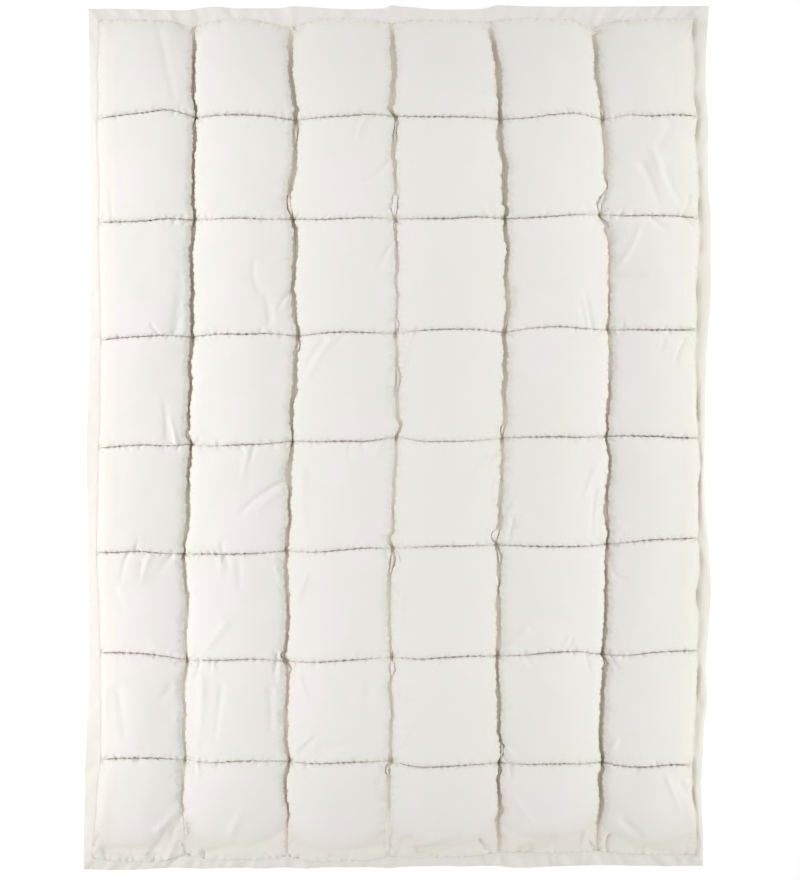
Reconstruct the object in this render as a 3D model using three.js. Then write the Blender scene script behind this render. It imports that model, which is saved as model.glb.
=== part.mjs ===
// A single duvet of unbleached cotton, lying face up. It is quilted right through into six by eight filled
// pockets, and its two cloths are sewn flat along a narrow edge all round.
// Millimetres. X runs across the duvet, Y towards its head end, Z up from the surface it lies on.
import * as THREE from 'three';

const POCKETS_ACROSS = 6;
const POCKETS_ALONG = 8;
const POCKET_TOP = 61;
const SEAM_HEIGHT = 24;
const EDGE_SEAM_HEIGHT = 15;
const CLOTH_PAIR = 3;
const EDGE_TIP_HEIGHT = 8;
const BED_HEIGHT = 0;

// How a pocket rises from its seams: the power of the flat crown and the power of the steep wall.
const CROWN_FLATNESS = 2.9;
const WALL_STEEPNESS = 2.3;

// Where the quilting seams cross, across the duvet, one row for each cross seam from the head end down.
const SEAM_X = [
  { row: 'head', left: -659, v1: -450, v2: -234, v3: -16, v4: 200, v5: 430, right: 654 },
  { row: 'h1', left: -661, v1: -444, v2: -226, v3: -8, v4: 226, v5: 450, right: 657 },
  { row: 'h2', left: -659, v1: -451, v2: -230, v3: -4, v4: 232, v5: 446, right: 666 },
  { row: 'h3', left: -655, v1: -451, v2: -219, v3: -6, v4: 234, v5: 463, right: 661 },
  { row: 'h4', left: -659, v1: -451, v2: -233, v3: -6, v4: 231, v5: 458, right: 666 },
  { row: 'h5', left: -663, v1: -472, v2: -243, v3: -11, v4: 218, v5: 461, right: 666 },
  { row: 'h6', left: -655, v1: -463, v2: -245, v3: -10, v4: 220, v5: 451, right: 663 },
  { row: 'h7', left: -655, v1: -463, v2: -239, v3: -12, v4: 222, v5: 449, right: 652 },
  { row: 'foot', left: -674, v1: -465, v2: -241, v3: -12, v4: 221, v5: 439, right: 657 },
];

// The same crossings along the duvet.
const SEAM_Y = [
  { row: 'head', left: 919, v1: 909, v2: 907, v3: 916, v4: 925, v5: 913, right: 925 },
  { row: 'h1', left: 702, v1: 704, v2: 699, v3: 706, v4: 701, v5: 701, right: 707 },
  { row: 'h2', left: 473, v1: 479, v2: 481, v3: 481, v4: 482, v5: 490, right: 483 },
  { row: 'h3', left: 215, v1: 221, v2: 223, v3: 230, v4: 231, v5: 237, right: 238 },
  { row: 'h4', left: -23, v1: -15, v2: -9, v3: 0, v4: -1, v5: 2, right: -1 },
  { row: 'h5', left: -253, v1: -256, v2: -250, v3: -243, v4: -237, v5: -234, right: -221 },
  { row: 'h6', left: -474, v1: -489, v2: -492, v3: -483, v4: -480, v5: -477, right: -470 },
  { row: 'h7', left: -710, v1: -710, v2: -713, v3: -713, v4: -715, v5: -715, right: -723 },
  { row: 'foot', left: -923, v1: -925, v2: -923, v3: -927, v4: -919, v5: -913, right: -919 },
];
const SEAM_NAMES = ['left', 'v1', 'v2', 'v3', 'v4', 'v5', 'right'];

// The outer line of the sewn edge, as far out as it reaches on each side.
const REACH = { left: -683, right: 688, head: 944, foot: -947 };

// Where the outer line draws in: along the side, how deep, and over what half length.
const EDGE_DIPS = [
  { side: 'left', at: 640, depth: 0, half: 60 },
  { side: 'left', at: 880, depth: 4, half: 160 },
  { side: 'left', at: 330, depth: 12, half: 150 },
  { side: 'left', at: 60, depth: 6, half: 120 },
  { side: 'left', at: -330, depth: 8, half: 110 },
  { side: 'left', at: -520, depth: 11, half: 90 },
  { side: 'right', at: 808, depth: 13, half: 42 },
  { side: 'right', at: 640, depth: 8, half: 130 },
  { side: 'right', at: 195, depth: 12, half: 45 },
  { side: 'right', at: -85, depth: 18, half: 60 },
  { side: 'right', at: -150, depth: 14, half: 55 },
  { side: 'right', at: -480, depth: 14, half: 90 },
  { side: 'right', at: -740, depth: 24, half: 120 },
  { side: 'right', at: -930, depth: 18, half: 110 },
  { side: 'head', at: -600, depth: 8, half: 150 },
  { side: 'head', at: -466, depth: 14, half: 34 },
  { side: 'head', at: -285, depth: 14, half: 60 },
  { side: 'head', at: -52, depth: 21, half: 36 },
  { side: 'head', at: 152, depth: 22, half: 36 },
  { side: 'head', at: 560, depth: 5, half: 160 },
  { side: 'foot', at: -440, depth: 4, half: 60 },
  { side: 'foot', at: -120, depth: 8, half: 90 },
  { side: 'foot', at: 60, depth: 9, half: 60 },
  { side: 'foot', at: 250, depth: 6, half: 70 },
  { side: 'foot', at: 500, depth: 11, half: 170 },
];

// The main folds in the pockets' faces: soft troughs from one point to another, with their depth and half width.
const FOLDS = [
  { x0: 645, y0: 640, x1: 560, y1: 510, depth: 7, half: 15 },
  { x0: 600, y0: 690, x1: 515, y1: 560, depth: 5, half: 14 },
  { x0: -245, y0: -100, x1: -335, y1: -168, depth: 8, half: 15 },
  { x0: 38, y0: 225, x1: 5, y1: 120, depth: 7, half: 14 },
  { x0: 45, y0: -910, x1: 120, y1: -870, depth: 8, half: 16 },
  { x0: 268, y0: -912, x1: 300, y1: -862, depth: 10, half: 18 },
  { x0: 515, y0: -900, x1: 560, y1: -865, depth: 8, half: 16 },
  { x0: -390, y0: -905, x1: -420, y1: -850, depth: 8, half: 16 },
  { x0: -540, y0: -905, x1: -490, y1: -868, depth: 7, half: 15 },
  { x0: -235, y0: 470, x1: -300, y1: 400, depth: 6, half: 14 },
  { x0: -20, y0: 690, x1: -90, y1: 745, depth: 6, half: 14 },
  { x0: 215, y0: -250, x1: 150, y1: -300, depth: 7, half: 14 },
  { x0: -455, y0: -250, x1: -400, y1: -310, depth: 7, half: 14 },
  { x0: 240, y0: 225, x1: 300, y1: 165, depth: 6, half: 14 },
  { x0: -450, y0: 215, x1: -520, y1: 165, depth: 6, half: 14 },
  { x0: 455, y0: -225, x1: 525, y1: -170, depth: 6, half: 14 },
];

// Steps of the mesh over one pocket, from seam to seam.
const STEPS_ACROSS = [0, 0.022, 0.065, 0.15, 0.3, 0.5, 0.7, 0.85, 0.935, 0.978, 1];
const STEPS_ALONG = [0, 0.022, 0.07, 0.17, 0.37, 0.63, 0.83, 0.93, 0.978, 1];
const STEPS_UNDER = [0, 0.085, 0.915, 1];

// A smooth curve through evenly spaced values, read at a place between them.
function through(values, place) {
  const last = values.length - 1;
  const i = Math.min(Math.max(Math.floor(place), 0), last - 1);
  const t = place - i;
  const a = values[i];
  const b = values[i + 1];
  const before = i > 0 ? values[i - 1] : 2 * a - b;
  const after = i + 2 <= last ? values[i + 2] : 2 * b - a;
  const slopeA = (b - before) / 2;
  const slopeB = (after - a) / 2;
  const t2 = t * t;
  const t3 = t2 * t;
  return a * (2 * t3 - 3 * t2 + 1) + slopeA * (t3 - 2 * t2 + t) + b * (3 * t2 - 2 * t3) + slopeB * (t3 - t2);
}

// A point of the quilted field from its place: seams across 0 to 6, seams along 0 to 8.
function fieldPoint(across, along) {
  const xs = SEAM_X.map((row) => through(SEAM_NAMES.map((name) => row[name]), across));
  const ys = SEAM_Y.map((row) => through(SEAM_NAMES.map((name) => row[name]), across));
  return { x: through(xs, along), y: through(ys, along) };
}

// How far a pocket has risen at a place between two seams, 0 at the seam and 1 at its middle.
function rise(t) {
  const off = Math.abs(2 * t - 1);
  return Math.pow(Math.max(0, 1 - Math.pow(off, CROWN_FLATNESS)), 1 / WALL_STEEPNESS);
}

// Pockets are filled a little unevenly.
function filling(column, row) {
  return 1 + 0.035 * Math.sin(2.1 * column + 1.3 * row) + 0.025 * Math.sin(1.1 * column - 2.7 * row);
}

function foldDepth(x, y) {
  let sum = 0;
  for (const fold of FOLDS) {
    const dx = fold.x1 - fold.x0;
    const dy = fold.y1 - fold.y0;
    const length = Math.hypot(dx, dy);
    const along = ((x - fold.x0) * dx + (y - fold.y0) * dy) / (length * length);
    const held = Math.min(Math.max(along, 0), 1);
    const away = Math.hypot(x - fold.x0 - held * dx, y - fold.y0 - held * dy);
    sum += fold.depth * Math.exp(-Math.pow(away / fold.half, 2)) * (1 - 0.5 * held);
  }
  return sum;
}

// The height of a seam: lower along the sewn edge than inside.
function seamHeight(across, along) {
  const nearest = Math.min(across, POCKETS_ACROSS - across, along, POCKETS_ALONG - along);
  const inward = Math.min(1, nearest / 0.6);
  return EDGE_SEAM_HEIGHT + (SEAM_HEIGHT - EDGE_SEAM_HEIGHT) * inward;
}

function placeInPocket(place, count) {
  const index = Math.min(Math.floor(place + 1e-9), count - 1);
  return { index, t: Math.min(Math.max(place - index, 0), 1) };
}

function topPoint(across, along) {
  const u = placeInPocket(across, POCKETS_ACROSS);
  const v = placeInPocket(along, POCKETS_ALONG);
  const point = fieldPoint(across, along);
  const lift = rise(u.t) * rise(v.t);
  const low = seamHeight(across, along) + CLOTH_PAIR / 2;
  const crown = POCKET_TOP * filling(u.index, v.index);
  const fold = foldDepth(point.x, point.y) * Math.min(1, lift * 1.6);
  return [point.x, point.y, low + (crown - low) * lift - fold];
}

// Underneath, each pocket rests flat and its seams arch up from the surface.
function underPoint(across, along) {
  const u = placeInPocket(across, POCKETS_ACROSS);
  const v = placeInPocket(along, POCKETS_ALONG);
  const point = fieldPoint(across, along);
  const onSeam = u.t < 1e-6 || u.t > 1 - 1e-6 || v.t < 1e-6 || v.t > 1 - 1e-6;
  const z = onSeam ? seamHeight(across, along) - CLOTH_PAIR / 2 : BED_HEIGHT;
  return [point.x, point.y, z];
}

// Places of all mesh lines over a number of pockets.
function meshLines(steps, pockets) {
  const lines = [0];
  for (let pocket = 0; pocket < pockets; pocket += 1) {
    for (const step of steps.slice(1)) {
      lines.push(pocket + step);
    }
  }
  return lines;
}

const vertices = [];
const faces = [];

function addVertex(point) {
  vertices.push(point);
  return vertices.length - 1;
}

function addGrid(acrossLines, alongLines, pointAt, faceUp) {
  const grid = alongLines.map((along) => acrossLines.map((across) => addVertex(pointAt(across, along))));
  for (let j = 0; j + 1 < alongLines.length; j += 1) {
    for (let i = 0; i + 1 < acrossLines.length; i += 1) {
      const a = grid[j][i];
      const b = grid[j][i + 1];
      const c = grid[j + 1][i + 1];
      const d = grid[j + 1][i];
      // Along runs towards the foot, so this order faces up. The diagonal follows the pocket's hip.
      const leftHalf = acrossLines[i] - Math.floor(acrossLines[i] + 1e-9) < 0.45;
      const headHalf = alongLines[j] - Math.floor(alongLines[j] + 1e-9) < 0.45;
      const quad = leftHalf === headHalf ? [[a, d, c], [a, c, b]] : [[a, d, b], [b, d, c]];
      for (const [p, q, r] of quad) {
        faces.push(faceUp ? [p, q, r] : [p, r, q]);
      }
    }
  }
  return grid;
}

// The rim of a grid as a loop that runs along the head, down the right side and back, with each point's place.
function rimOf(grid, acrossLines, alongLines) {
  const loop = [];
  const lastI = acrossLines.length - 1;
  const lastJ = alongLines.length - 1;
  for (let i = 0; i < lastI; i += 1) {
    loop.push({ id: grid[0][i], across: acrossLines[i], along: 0 });
  }
  for (let j = 0; j < lastJ; j += 1) {
    loop.push({ id: grid[j][lastI], across: POCKETS_ACROSS, along: alongLines[j] });
  }
  for (let i = lastI; i > 0; i -= 1) {
    loop.push({ id: grid[lastJ][i], across: acrossLines[i], along: POCKETS_ALONG });
  }
  for (let j = lastJ; j > 0; j -= 1) {
    loop.push({ id: grid[j][0], across: 0, along: alongLines[j] });
  }
  return loop;
}

// Distance round the rim, counted in pockets, for matching two loops of different fineness.
function rimPlace(point) {
  if (point.along === 0 && point.across < POCKETS_ACROSS) {
    return point.across;
  }
  if (point.across === POCKETS_ACROSS && point.along < POCKETS_ALONG) {
    return POCKETS_ACROSS + point.along;
  }
  if (point.along === POCKETS_ALONG && point.across > 0) {
    return 2 * POCKETS_ACROSS + POCKETS_ALONG - point.across;
  }
  return 2 * POCKETS_ACROSS + 2 * POCKETS_ALONG - point.along;
}

// Joins two closed loops with triangles, always from the loop that lags behind.
function joinLoops(outer, inner, faceUp) {
  const round = 2 * (POCKETS_ACROSS + POCKETS_ALONG);
  const outerAt = (k) => outer[k % outer.length].place + round * Math.floor(k / outer.length);
  const innerAt = (k) => inner[k % inner.length].place + round * Math.floor(k / inner.length);
  let i = 0;
  let j = 0;
  while (i < outer.length || j < inner.length) {
    const stepOuter = j >= inner.length || (i < outer.length && outerAt(i + 1) <= innerAt(j + 1));
    const a = outer[i % outer.length].id;
    const b = inner[j % inner.length].id;
    if (stepOuter) {
      const c = outer[(i + 1) % outer.length].id;
      faces.push(faceUp ? [a, b, c] : [a, c, b]);
      i += 1;
    } else {
      const c = inner[(j + 1) % inner.length].id;
      faces.push(faceUp ? [a, b, c] : [a, c, b]);
      j += 1;
    }
  }
}

// How far the outer line draws in at a place along one side.
function dipAt(side, place) {
  let depth = 0;
  for (const dip of EDGE_DIPS) {
    if (dip.side === side) {
      depth += dip.depth * Math.exp(-Math.pow((place - dip.at) / (0.6 * dip.half), 2));
    }
  }
  return depth;
}

// The outer line of the sewn edge beside a rim point, with a gentle ruffle up and down.
function edgePoint(rim) {
  const inside = fieldPoint(rim.across, rim.along);
  let x = inside.x;
  let y = inside.y;
  if (rim.across === 0) {
    x = REACH.left + dipAt('left', y);
  }
  if (rim.across === POCKETS_ACROSS) {
    x = REACH.right - dipAt('right', y);
  }
  if (rim.along === 0) {
    y = REACH.head - dipAt('head', inside.x);
  }
  if (rim.along === POCKETS_ALONG) {
    y = REACH.foot + dipAt('foot', inside.x);
  }
  const ruffle = 2.2 * Math.sin((x + y) / 21) + 1.3 * Math.sin((x - y) / 34);
  return [x, y, EDGE_TIP_HEIGHT + ruffle];
}

const acrossLines = meshLines(STEPS_ACROSS, POCKETS_ACROSS);
const alongLines = meshLines(STEPS_ALONG, POCKETS_ALONG);
const acrossUnder = meshLines(STEPS_UNDER, POCKETS_ACROSS);
const alongUnder = meshLines(STEPS_UNDER, POCKETS_ALONG);

const topGrid = addGrid(acrossLines, alongLines, topPoint, true);
const underGrid = addGrid(acrossUnder, alongUnder, underPoint, false);

const withPlace = (loop) => loop.map((point) => ({ ...point, place: rimPlace(point) }));
const topRim = withPlace(rimOf(topGrid, acrossLines, alongLines));
const underRim = withPlace(rimOf(underGrid, acrossUnder, alongUnder));
const edgeTop = topRim.map((rim) => {
  const [x, y, z] = edgePoint(rim);
  return { ...rim, id: addVertex([x, y, z + CLOTH_PAIR / 2]) };
});
const edgeUnder = topRim.map((rim) => {
  const [x, y, z] = edgePoint(rim);
  return { ...rim, id: addVertex([x, y, z - CLOTH_PAIR / 2]) };
});
joinLoops(edgeTop, topRim, true);
joinLoops(edgeUnder, edgeTop, true);
joinLoops(underRim, edgeUnder, true);

// The duvet stands centred over the origin.
function centred(points) {
  const low = [Infinity, Infinity];
  const high = [-Infinity, -Infinity];
  for (const point of points) {
    for (let k = 0; k < 2; k += 1) {
      low[k] = Math.min(low[k], point[k]);
      high[k] = Math.max(high[k], point[k]);
    }
  }
  return points.map(([x, y, z]) => [x - (low[0] + high[0]) / 2, y - (low[1] + high[1]) / 2, z]);
}

const geometry = new THREE.BufferGeometry();
geometry.setAttribute('position', new THREE.Float32BufferAttribute(centred(vertices).flat(), 3));
geometry.setIndex(faces.flat());
geometry.computeVertexNormals();

const cotton = new THREE.MeshStandardMaterial({ color: 0xefece5, roughness: 0.9, metalness: 0 });
cotton.name = 'unbleached_cotton';

const duvet = new THREE.Mesh(geometry, cotton);
duvet.name = 'duvet';

const group = new THREE.Group();
group.name = 'duvet_part';
group.add(duvet);
export default group;
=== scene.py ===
# %% [markdown]
# # A quilted duvet, lying flat
#
# The object is a single duvet of unbleached cotton. It is sewn right through into six pockets across
# and eight along, each filled until its face is taut, and a narrow flat edge runs round the outside.
# Every step below makes one thing: the seam net, the filled pockets, the creases, the gathers, the sewn
# edge, the underside, the stitches, the cloth's look, and last the light and the camera.
#
# The solid model is loaded first and never moved. It gives the size that everything here must keep.

# %% The fixed frame
import math
import time
import bpy
import numpy as np
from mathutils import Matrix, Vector


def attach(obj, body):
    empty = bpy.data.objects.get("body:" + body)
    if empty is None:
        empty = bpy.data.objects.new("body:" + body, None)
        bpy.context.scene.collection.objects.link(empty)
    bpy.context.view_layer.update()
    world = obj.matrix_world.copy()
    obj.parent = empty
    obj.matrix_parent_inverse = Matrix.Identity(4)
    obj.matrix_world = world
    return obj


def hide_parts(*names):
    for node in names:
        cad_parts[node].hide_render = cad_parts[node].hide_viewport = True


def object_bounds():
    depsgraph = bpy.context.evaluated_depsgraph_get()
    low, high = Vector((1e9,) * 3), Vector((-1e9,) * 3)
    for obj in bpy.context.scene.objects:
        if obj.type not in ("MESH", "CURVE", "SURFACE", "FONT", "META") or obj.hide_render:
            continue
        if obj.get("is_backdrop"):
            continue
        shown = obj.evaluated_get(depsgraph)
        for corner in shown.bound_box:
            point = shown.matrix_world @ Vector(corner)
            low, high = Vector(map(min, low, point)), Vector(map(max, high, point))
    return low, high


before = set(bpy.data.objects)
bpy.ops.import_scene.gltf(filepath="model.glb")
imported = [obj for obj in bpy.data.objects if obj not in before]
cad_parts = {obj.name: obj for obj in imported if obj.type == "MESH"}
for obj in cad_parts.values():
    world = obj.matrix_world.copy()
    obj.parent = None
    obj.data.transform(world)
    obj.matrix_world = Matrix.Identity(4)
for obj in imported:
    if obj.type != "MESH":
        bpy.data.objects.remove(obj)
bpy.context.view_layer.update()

STARTED = time.time()

# %% [markdown]
# ## Where the seams cross
#
# On the real duvet the seams are straight lines on the cutting table, and the filling then pulls them
# out of true, so no two pockets are alike. A net of crossings is the plainest way to say that: each
# number is a place in millimetres from the middle of the duvet, read as a table. Rows run from the head
# end to the foot end, and columns from the left edge to the right edge.

# %% Seam net, in millimetres
SEAM_X = np.array([
    (-661, -452, -237, -19, 198, 428, 651),
    (-664, -447, -228, -10, 223, 447, 654),
    (-661, -454, -232, -7, 230, 443, 663),
    (-657, -454, -221, -8, 232, 461, 659),
    (-661, -454, -236, -8, 229, 455, 663),
    (-666, -474, -246, -13, 216, 458, 663),
    (-657, -466, -248, -12, 218, 449, 661),
    (-657, -466, -241, -15, 220, 446, 650),
    (-677, -468, -243, -15, 219, 436, 654)], float)
SEAM_Y = np.array([
    (920, 905, 905, 913, 916, 905, 922),
    (703, 706, 700, 708, 702, 702, 709),
    (475, 480, 482, 482, 483, 491, 484),
    (216, 223, 225, 231, 233, 238, 239),
    (-22, -14, -7, 2, 0, 4, 0),
    (-252, -255, -248, -242, -235, -233, -220),
    (-473, -487, -490, -482, -479, -476, -468),
    (-708, -708, -711, -711, -714, -714, -721),
    (-924, -918, -921, -922, -912, -908, -916)], float)
ACROSS, ALONG = 6, 8
CAMERA_UP = 6000.0  # the camera's height, in millimetres too
print("pockets:", ACROSS, "across,", ALONG, "along")

# %% [markdown]
# ## How far a seam wanders between two crossings
#
# Between its crossings a seam bows a few millimetres to one side. The tables give that bow at a quarter,
# a half and three quarters of the way, to the right for a side seam and towards the head for a cross
# seam. The bow goes into a finer net of places, and a smooth curve is drawn through them later. The two
# outer side seams have no table, and a seeded draw gives them a slight waver instead. All of it was read
# as if it lay on the floor, and what stands nearer to the camera seems further out, so the net is drawn
# in by its height over the camera's.

# %% Wander of the seams, in millimetres
SIDE_WANDER = np.array([  # row of pockets, then inner seam 1 to 5, then place
    ((2, -3, -4), (-3, -5, 0), (5, 5, -1), (6, 8, 4), (1, -2, 2)),
    ((-1, -1, 1), (2, 0, -9), (-1, 1, 1), (2, 7, 4), (7, 9, 16)),
    ((-1, -2, -2), (2, -3, -5), (4, 3, 4), (7, 3, 7), (14, 13, 7)),
    ((-5, -6, -7), (-2, -1, -2), (4, 3, 3), (3, 2, 4), (7, 7, 6)),
    ((-3, 0, 4), (-3, 0, 2), (1, -2, 0), (4, 4, 3), (9, 4, 2)),
    ((3, 5, -2), (-1, 3, 4), (-6, -7, -6), (6, 5, 5), (-1, 3, 2)),
    ((-8, -7, -9), (1, -3, -7), (-5, -2, -2), (2, 4, 2), (2, 0, -3)),
    ((-10, -10, -5), (-7, -2, -3), (-4, -4, -6), (0, 4, 0), (2, 5, 1))], float)
CROSS_WANDER = np.array([  # cross seam 1 to 7, then column of pockets, then place
    ((5, 10, 15), (5, 7, 5), (2, 3, 5), (-1, 0, 1), (1, 8, 11), (6, 2, 3)),
    ((-1, -1, 3), (1, 2, -1), (-2, 0, 2), (0, 0, 3), (-1, 0, 2), (-1, 1, 2)),
    ((3, 4, 5), (5, 4, 5), (4, 5, 2), (5, 7, 6), (7, 9, 4), (0, -1, -1)),
    ((2, 3, -1), (-5, -4, -4), (-3, -4, -6), (-8, -8, -6), (1, 1, -1), (2, 2, 0)),
    ((2, 5, 2), (-1, -3, -3), (-4, -1, 2), (1, 1, 0), (-2, -4, -4), (2, 4, 2)),
    ((5, 7, 5), (0, 2, 4), (-4, -3, -1), (-4, -1, 1), (2, 7, 8), (-3, 1, 2)),
    ((5, 6, 5), (-4, 0, 1), (-4, -2, 0), (-10, -8, -4), (-2, -1, -1), (-5, -4, 2))], float)

HEAD_WANDER = np.array([(5, 8, 8), (14, 17, 9), (13, 14, 12), (6, 5, 2), (9, 12, 13), (9, 9, 5)], float)
FOOT_WANDER = np.array([(-8, -11, -11), (-9, -8, -7), (-11, -8, -8), (-3, -5, -6), (-1, -3, -3),
                        (-4, -5, -3)], float)
EDGE_WAVER = np.random.default_rng(61).normal(0, 1, (4 * ALONG + 1, 2)) * (1.2, 2.2)  # left and right
SEEN_INNER, SEEN_OUTER = 36, 24  # how high the inner and the outer seams were when their places were read


def seam_net():
    """The crossings and the bows in one net, with four steps to a pocket along each seam."""
    side = np.zeros((4 * ALONG + 1, ACROSS + 1))
    cross = np.zeros((ALONG + 1, 4 * ACROSS + 1))
    for q in range(4):
        side[q:-1:4] = SEAM_X[:-1] * (1 - q / 4) + SEAM_X[1:] * q / 4
        cross[:, q:-1:4] = SEAM_Y[:, :-1] * (1 - q / 4) + SEAM_Y[:, 1:] * q / 4
        if q:
            side[q:-1:4, 1:-1] += SIDE_WANDER[:, :, q - 1]
            cross[1:-1, q:-1:4] += CROSS_WANDER[:, :, q - 1]
            cross[0, q:-1:4] += HEAD_WANDER[:, q - 1]
            cross[-1, q:-1:4] += FOOT_WANDER[:, q - 1]
    side[1:-1, [0, -1]] += EDGE_WAVER[1:-1]
    side[-1], cross[:, -1] = SEAM_X[-1], SEAM_Y[:, -1]
    side[:, 1:-1] *= 1 - SEEN_INNER / CAMERA_UP
    cross[1:-1] *= 1 - SEEN_INNER / CAMERA_UP
    side[:, [0, -1]] *= 1 - SEEN_OUTER / CAMERA_UP
    cross[[0, -1]] *= 1 - SEEN_OUTER / CAMERA_UP
    return side, cross


def smooth_weights(count, places):
    """Weights that draw a smooth curve through samples 0..count, at any places between them."""
    table = np.zeros((len(places), count + 1))
    for row, place in enumerate(places):
        i = min(max(int(place), 0), count - 1)
        t = place - i
        rise_a, rise_b = t ** 3 - 2 * t ** 2 + t, t ** 3 - t ** 2
        table[row, i] += 2 * t ** 3 - 3 * t ** 2 + 1
        table[row, i + 1] += 3 * t ** 2 - 2 * t ** 3
        before, after = max(i - 1, 0), min(i + 2, count)
        table[row, i + 1] += rise_a / (i + 1 - before)
        table[row, before] -= rise_a / (i + 1 - before)
        table[row, after] += rise_b / (after - i)
        table[row, i] -= rise_b / (after - i)
    return table


def seam_field(across, along):
    """Where a net place (across 0..6, along 0..8) lies on the duvet, as x and y tables."""
    side, cross = seam_net()
    x = smooth_weights(4 * ALONG, 4 * along) @ side @ smooth_weights(ACROSS, across).T
    y = smooth_weights(ALONG, along) @ cross @ smooth_weights(4 * ACROSS, 4 * across).T
    return x, y


print("side seam 1 runs from", SEAM_X[0, 1], "to", SEAM_X[-1, 1], "mm across")

# %% [markdown]
# ## The profile of a filled pocket
#
# A pocket is two squares of cloth sewn together and filled until they are taut. A plain dome would look
# like a cushion, and the real pockets are boxier: a steep wall stands up from each seam, turns over
# within a finger's breadth, and the face is a very shallow dome. Along the duvet two neighbours press
# together and leave only a crack, while across it they stand a finger apart. The curve is walked at
# equal steps of cloth, because cloth doesn't stretch, so the wall gets as many mesh rows as it needs.

# %% Height of a pocket from seam to seam
POCKET_X, POCKET_Y = 222.0, 232.0  # a middling pocket, from seam to seam
CROWN = 60.0  # the middle of a pocket above the bed
DOME_ACROSS, DOME_ALONG = 16.0, 2.0  # how far its face falls towards the side and the cross seams
EDGE_SEAM = 24.0  # height of the outer seam
RIGHT_SINK = 6.0  # how far the right outer seam is drawn down in places
WALL = 28.0  # from the seam's floor to the top of the wall
CELLS = 80  # steps of cloth to a pocket
SIDE_GAP, CROSS_GAP = 4.4, 0.5  # bare floor beside a side seam and a cross seam


def rise(t, squareness, steepness):
    """A wall, a level top and a wall, from nought to one and back."""
    return np.clip(1 - np.abs(2 * t - 1) ** squareness, 0, None) ** (1 / steepness)


def cloth_walk(chord, gap, squareness, steepness):
    """Equal steps of cloth over one pocket: the place between the seams, the height, the cloth's length."""
    t = np.linspace(0, 1, 6001)
    place = np.concatenate([[0], gap + t * (chord - 2 * gap), [chord]]) / chord
    high = np.concatenate([[0], rise(t, squareness, steepness), [0]])
    run = np.concatenate([[0], np.cumsum(np.hypot(np.diff(place) * chord, np.diff(high) * WALL))])
    steps = np.arange(CELLS + 1) / CELLS * run[-1]
    return np.interp(steps, run, place), np.interp(steps, run, high), run[-1]


WALK_ACROSS = cloth_walk(POCKET_X, SIDE_GAP, 12.0, 4.0)
WALK_ALONG = cloth_walk(POCKET_Y, CROSS_GAP, 20.0, 4.0)
print("cloth over a pocket: %.0f mm across, %.0f mm along" % (WALK_ACROSS[2], WALK_ALONG[2]))

# %% [markdown]
# ## The channels along the side seams
#
# The side seams show as channels about a finger wide, deepest near the left and right of the duvet and
# shallow in the middle. Two tables of millimetres hold how far the rims stand to the left and right of
# the sewn line, at five places down each pocket. Those distances were measured. How deep a channel is
# can't be seen from straight above, so that is judged, in three grades only and at five places
# from the head to the foot, and a seeded noise makes it a little uneven between them.
#
# The rims are ragged, because the gathered cloth stands up in small folds. A seeded noise in three
# sizes moves each rim in and out by a millimetre or two, and one more moves both together. The lips of
# the cross seams have small nicks, which are made in the same way.

# %% Rims and floor of the channels, in millimetres
RIM_LEFT = np.array([  # row of pockets, inner seam 1 to 5, then five places down the pocket
    ((7, 7, 4, 5, 3), (6, 6, 7, 6, 4), (6, 7, 8, 7, 13), (7, 7, 8, 7, 4), (6, 6, 6, 7, 7)),
    ((5, 5, 4, 4, 3), (6, 6, 6, 7, 12), (3, 6, 4, 6, 9), (9, 8, 9, 8, 2), (8, 6, 6, 6, 13)),
    ((4, 5, 4, 5, 5), (3, 7, 6, 6, 9), (4, 6, 6, 6, 5), (3, 5, 5, 7, 3), (2, 5, 6, 6, -1)),
    ((5, 4, 4, 4, 12), (6, 5, 5, 6, 4), (4, 6, 7, 13, -1), (3, 6, 6, 9, 6), (4, 7, 6, 7, 3)),
    ((7, 5, 7, 6, 4), (2, 10, 3, 4, 6), (7, 7, 4, 7, 11), (4, 6, 7, 6, 9), (0, 6, 6, 7, 3)),
    ((5, 6, 6, 4, 10), (5, 4, 4, 6, 6), (7, 6, 10, 6, 8), (7, 7, 6, 7, 7), (4, 5, 5, 5, 6)),
    ((6, 6, 4, 5, 7), (3, 4, 7, 4, 10), (9, 8, 5, 5, 7), (7, 7, 8, 6, -3), (4, 6, 6, 4, 4)),
    ((12, 6, 3, 3, 10), (7, 4, 4, 4, 5), (11, 12, 7, 10, 13), (0, 5, 7, 7, 6), (6, 6, 6, 7, 3))], float)
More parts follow.
